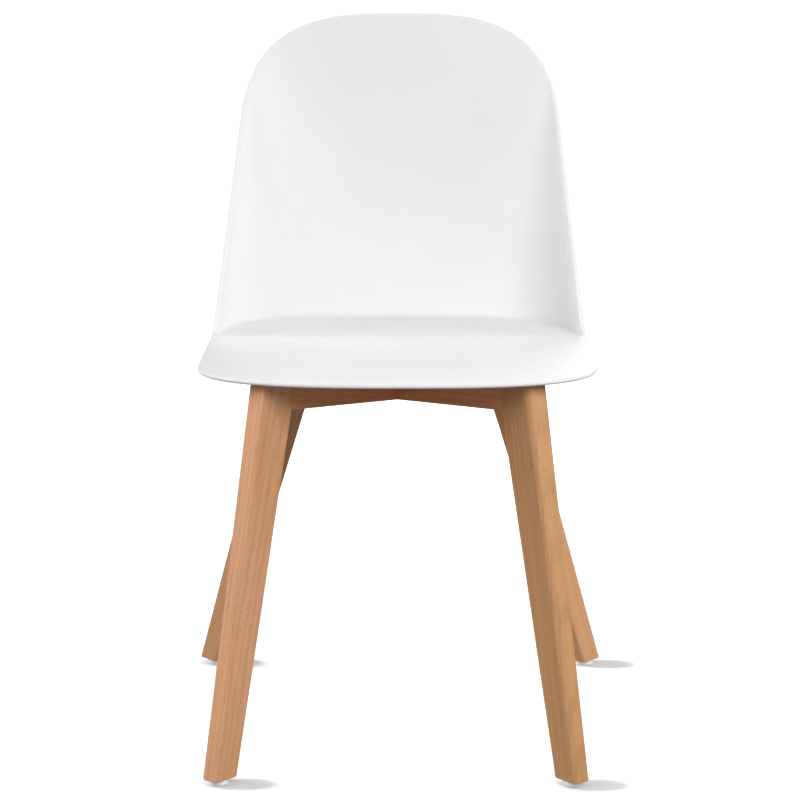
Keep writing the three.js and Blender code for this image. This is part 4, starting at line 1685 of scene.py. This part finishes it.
    def seat_centre(self, vertices: list[Vector]) -> int:
        """Number of the vertex nearest the middle of the seat."""
        return min(range(len(vertices)), key=lambda i: vertices[i].xy.length)

    def boss(self, x: float, y: float) -> bpy.types.Object:
        """A boss under the seat, flared where it meets the shell."""
        radius, low = self.insert_hole + self.boss_wall, self.base_top + GAP
        seat = self.seat_height(x, y)
        under, flare, ease = seat - self.thickness, self.boss_flare, self.boss_flare / 5
        profile: Profile = [(0, low), (radius - ease, low), (radius, low + ease)]
        for step in range(self.boss_steps + 1):
            angle = math.pi / 2 * step / self.boss_steps
            profile.append((radius + flare * (1 - math.cos(angle)), under - flare * (1 - math.sin(angle))))
        profile += [(radius + flare, seat - self.thickness / 2), (0, seat - self.thickness / 2)]
        return moved(turned("boss", profile, self.boss_sides), shift(x, y))

    def build(self) -> bpy.types.Object:
        """Makes the shell with its four bored bosses."""
        shell = self.sheet()
        places = []
        for turn in self.plan.turns.values():
            places.append((self.plan.bolt_reach * math.cos(turn), self.plan.bolt_reach * math.sin(turn)))
        combine(shell, [self.boss(x, y) for x, y in places], "UNION")
        low, high = self.base_top, self.base_top + self.stack.insert_length + 3 * GAP
        holes = [moved(bore(self.insert_hole, low, high, self.hole_sides), shift(x, y)) for x, y in places]
        combine(shell, holes, "DIFFERENCE")
        return shell

    def dress(self) -> None:
        """Builds, finishes and installs the shell."""
        shell = moved(self.build(), self.plan.arm(0.0))
        soften(shell, self.sharp_degrees)
        install(shell, "seat_shell", self.finish.material())


# ---- Studio ----


@dataclass
class Lamp:
    """A soft box that faces the chair."""

    name: str
    azimuth: float
    elevation: float
    distance: float
    size: float
    power: float

    def hang(self, target: Vector) -> None:
        """Hangs the lamp, aimed at a point."""
        light = bpy.data.lights.new(self.name, "AREA")
        light.shape = "SQUARE"
        light.size = self.size
        light.energy = self.power
        lamp = linked(self.name, light)
        across, up = math.radians(self.azimuth), math.radians(self.elevation)
        back = Vector((math.sin(across) * math.cos(up), -math.cos(across) * math.cos(up), math.sin(up)))
        lamp.location = target + back * self.distance
        lamp.rotation_mode = "QUATERNION"
        lamp.rotation_quaternion = back.to_track_quat("Z", "Y")


@dataclass
class Studio:
    """A white paper floor in a dim white room, five soft boxes and the camera."""

    plan: Plan
    floor_finish: StudioFloor
    floor_radius: float = 60.0
    floor_rings: int = 24
    floor_sides: int = 96
    below: float = 0.20
    sky: float = 0.12
    horizon: tuple[float, float] = (-0.1, 0.45)
    camera_turn: float = 0.6
    camera_back: float = 2.8423
    camera_height: float = 0.9035
    camera_tilt: float = 79.8
    lens: float = 112.26
    shift: float = 0.0027
    lamps: list[Lamp] = field(default_factory=lambda: [
        Lamp("key_box", 29.0, 33.0, 3.2, 1.8, 67.0),
        Lamp("left_box", -104.0, 25.0, 3.2, 1.4, 52.0),
        Lamp("fill_box", -52.0, 30.0, 3.2, 1.6, 27.0),
        Lamp("right_box", 96.0, 26.0, 3.2, 1.6, 33.0),
        Lamp("back_box", 165.0, 27.0, 3.2, 1.6, 26.0),
    ])

    def floor(self) -> None:
        """Lays the floor: a wide disc that throws no light back up at the chair."""
        rings = range(self.floor_rings + 1)
        profile = [(self.floor_radius * (ring / self.floor_rings) ** 3, 0.0) for ring in rings]
        floor = turned("studio_floor", profile, self.floor_sides)
        if floor.data.polygons[0].normal.z < 0:
            floor.data.flip_normals()
        feet = [sum(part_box(f"glide_{corner.value}"), Vector()) / 2 for corner in Corner]
        floor.data.materials.append(self.floor_finish.material(feet))
        floor.visible_diffuse = False
        floor.visible_glossy = False

    def world(self) -> None:
        """Makes the room's own faint light: dim overhead and a little brighter below the horizon."""
        world = bpy.data.worlds.new("studio_sky")
        bpy.context.scene.world = world
        world.use_nodes = True
        room = Nodes(world.node_tree)
        direction = room.node("ShaderNodeTexCoord", {}, {}).outputs["Generated"]
        height = Signal(room, room.node("ShaderNodeSeparateXYZ", {}, {0: direction}).outputs["Z"])
        strength = self.below + height.step(*self.horizon) * (self.sky - self.below)
        sky = room.node("ShaderNodeBackground", {}, {"Color": (1, 1, 1, 1), "Strength": strength})
        room.node("ShaderNodeOutputWorld", {}, {"Surface": sky.outputs[0]})

    def camera(self) -> None:
        """Sets up the camera, almost square on to the chair and a little above its top."""
        data = bpy.data.cameras.new("camera")
        data.lens = self.lens
        data.shift_x = self.shift
        camera = linked("camera", data)
        turn = math.radians(self.camera_turn)
        back = Vector((math.sin(turn), -math.cos(turn), 0)) * self.camera_back
        camera.location = self.plan.crossing + back + Vector((0, 0, self.camera_height))
        camera.rotation_euler = (math.radians(self.camera_tilt), 0, turn)
        bpy.context.scene.camera = camera

    def set_up(self) -> None:
        """Makes the whole studio."""
        self.floor()
        self.world()
        self.camera()
        target = Vector((self.plan.crossing.x, self.plan.crossing.y, CAD_BOX[1].z / 2))
        for lamp in self.lamps:
            lamp.hang(target)
        bpy.context.scene.view_settings.view_transform = "Standard"


def main() -> None:
    """Builds the chair and its studio."""
    logging.basicConfig(level=logging.INFO, format="%(name)s: %(message)s")
    plan = Plan()
    rail_low, rail_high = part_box("rail_lower")
    leg_low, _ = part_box("leg_front_left")
    _, shell_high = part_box("seat_shell")
    joint = Joint(top=rail_high.z, leg_foot=leg_low.z, rail_base=rail_low.z)
    stack, tack = BoltStack(), Tack()
    Studio(plan, StudioFloor()).set_up()
    Shell(plan, stack, joint.top, shell_high.z, MouldedPlastic()).dress()
    Rails(plan, joint, stack, RAIL_BEECH).dress()
    Legs(plan, joint, tack, LEG_BEECH).dress()
    Dowels(plan, joint, BARE_BEECH).dress()
    Glides(plan, joint, tack, Nylon(), ZINC_STEEL).dress()
    SeatFixings(plan, stack, joint.top, ZINC_STEEL, BRASS).dress()


if __name__ == "__main__":
    main()
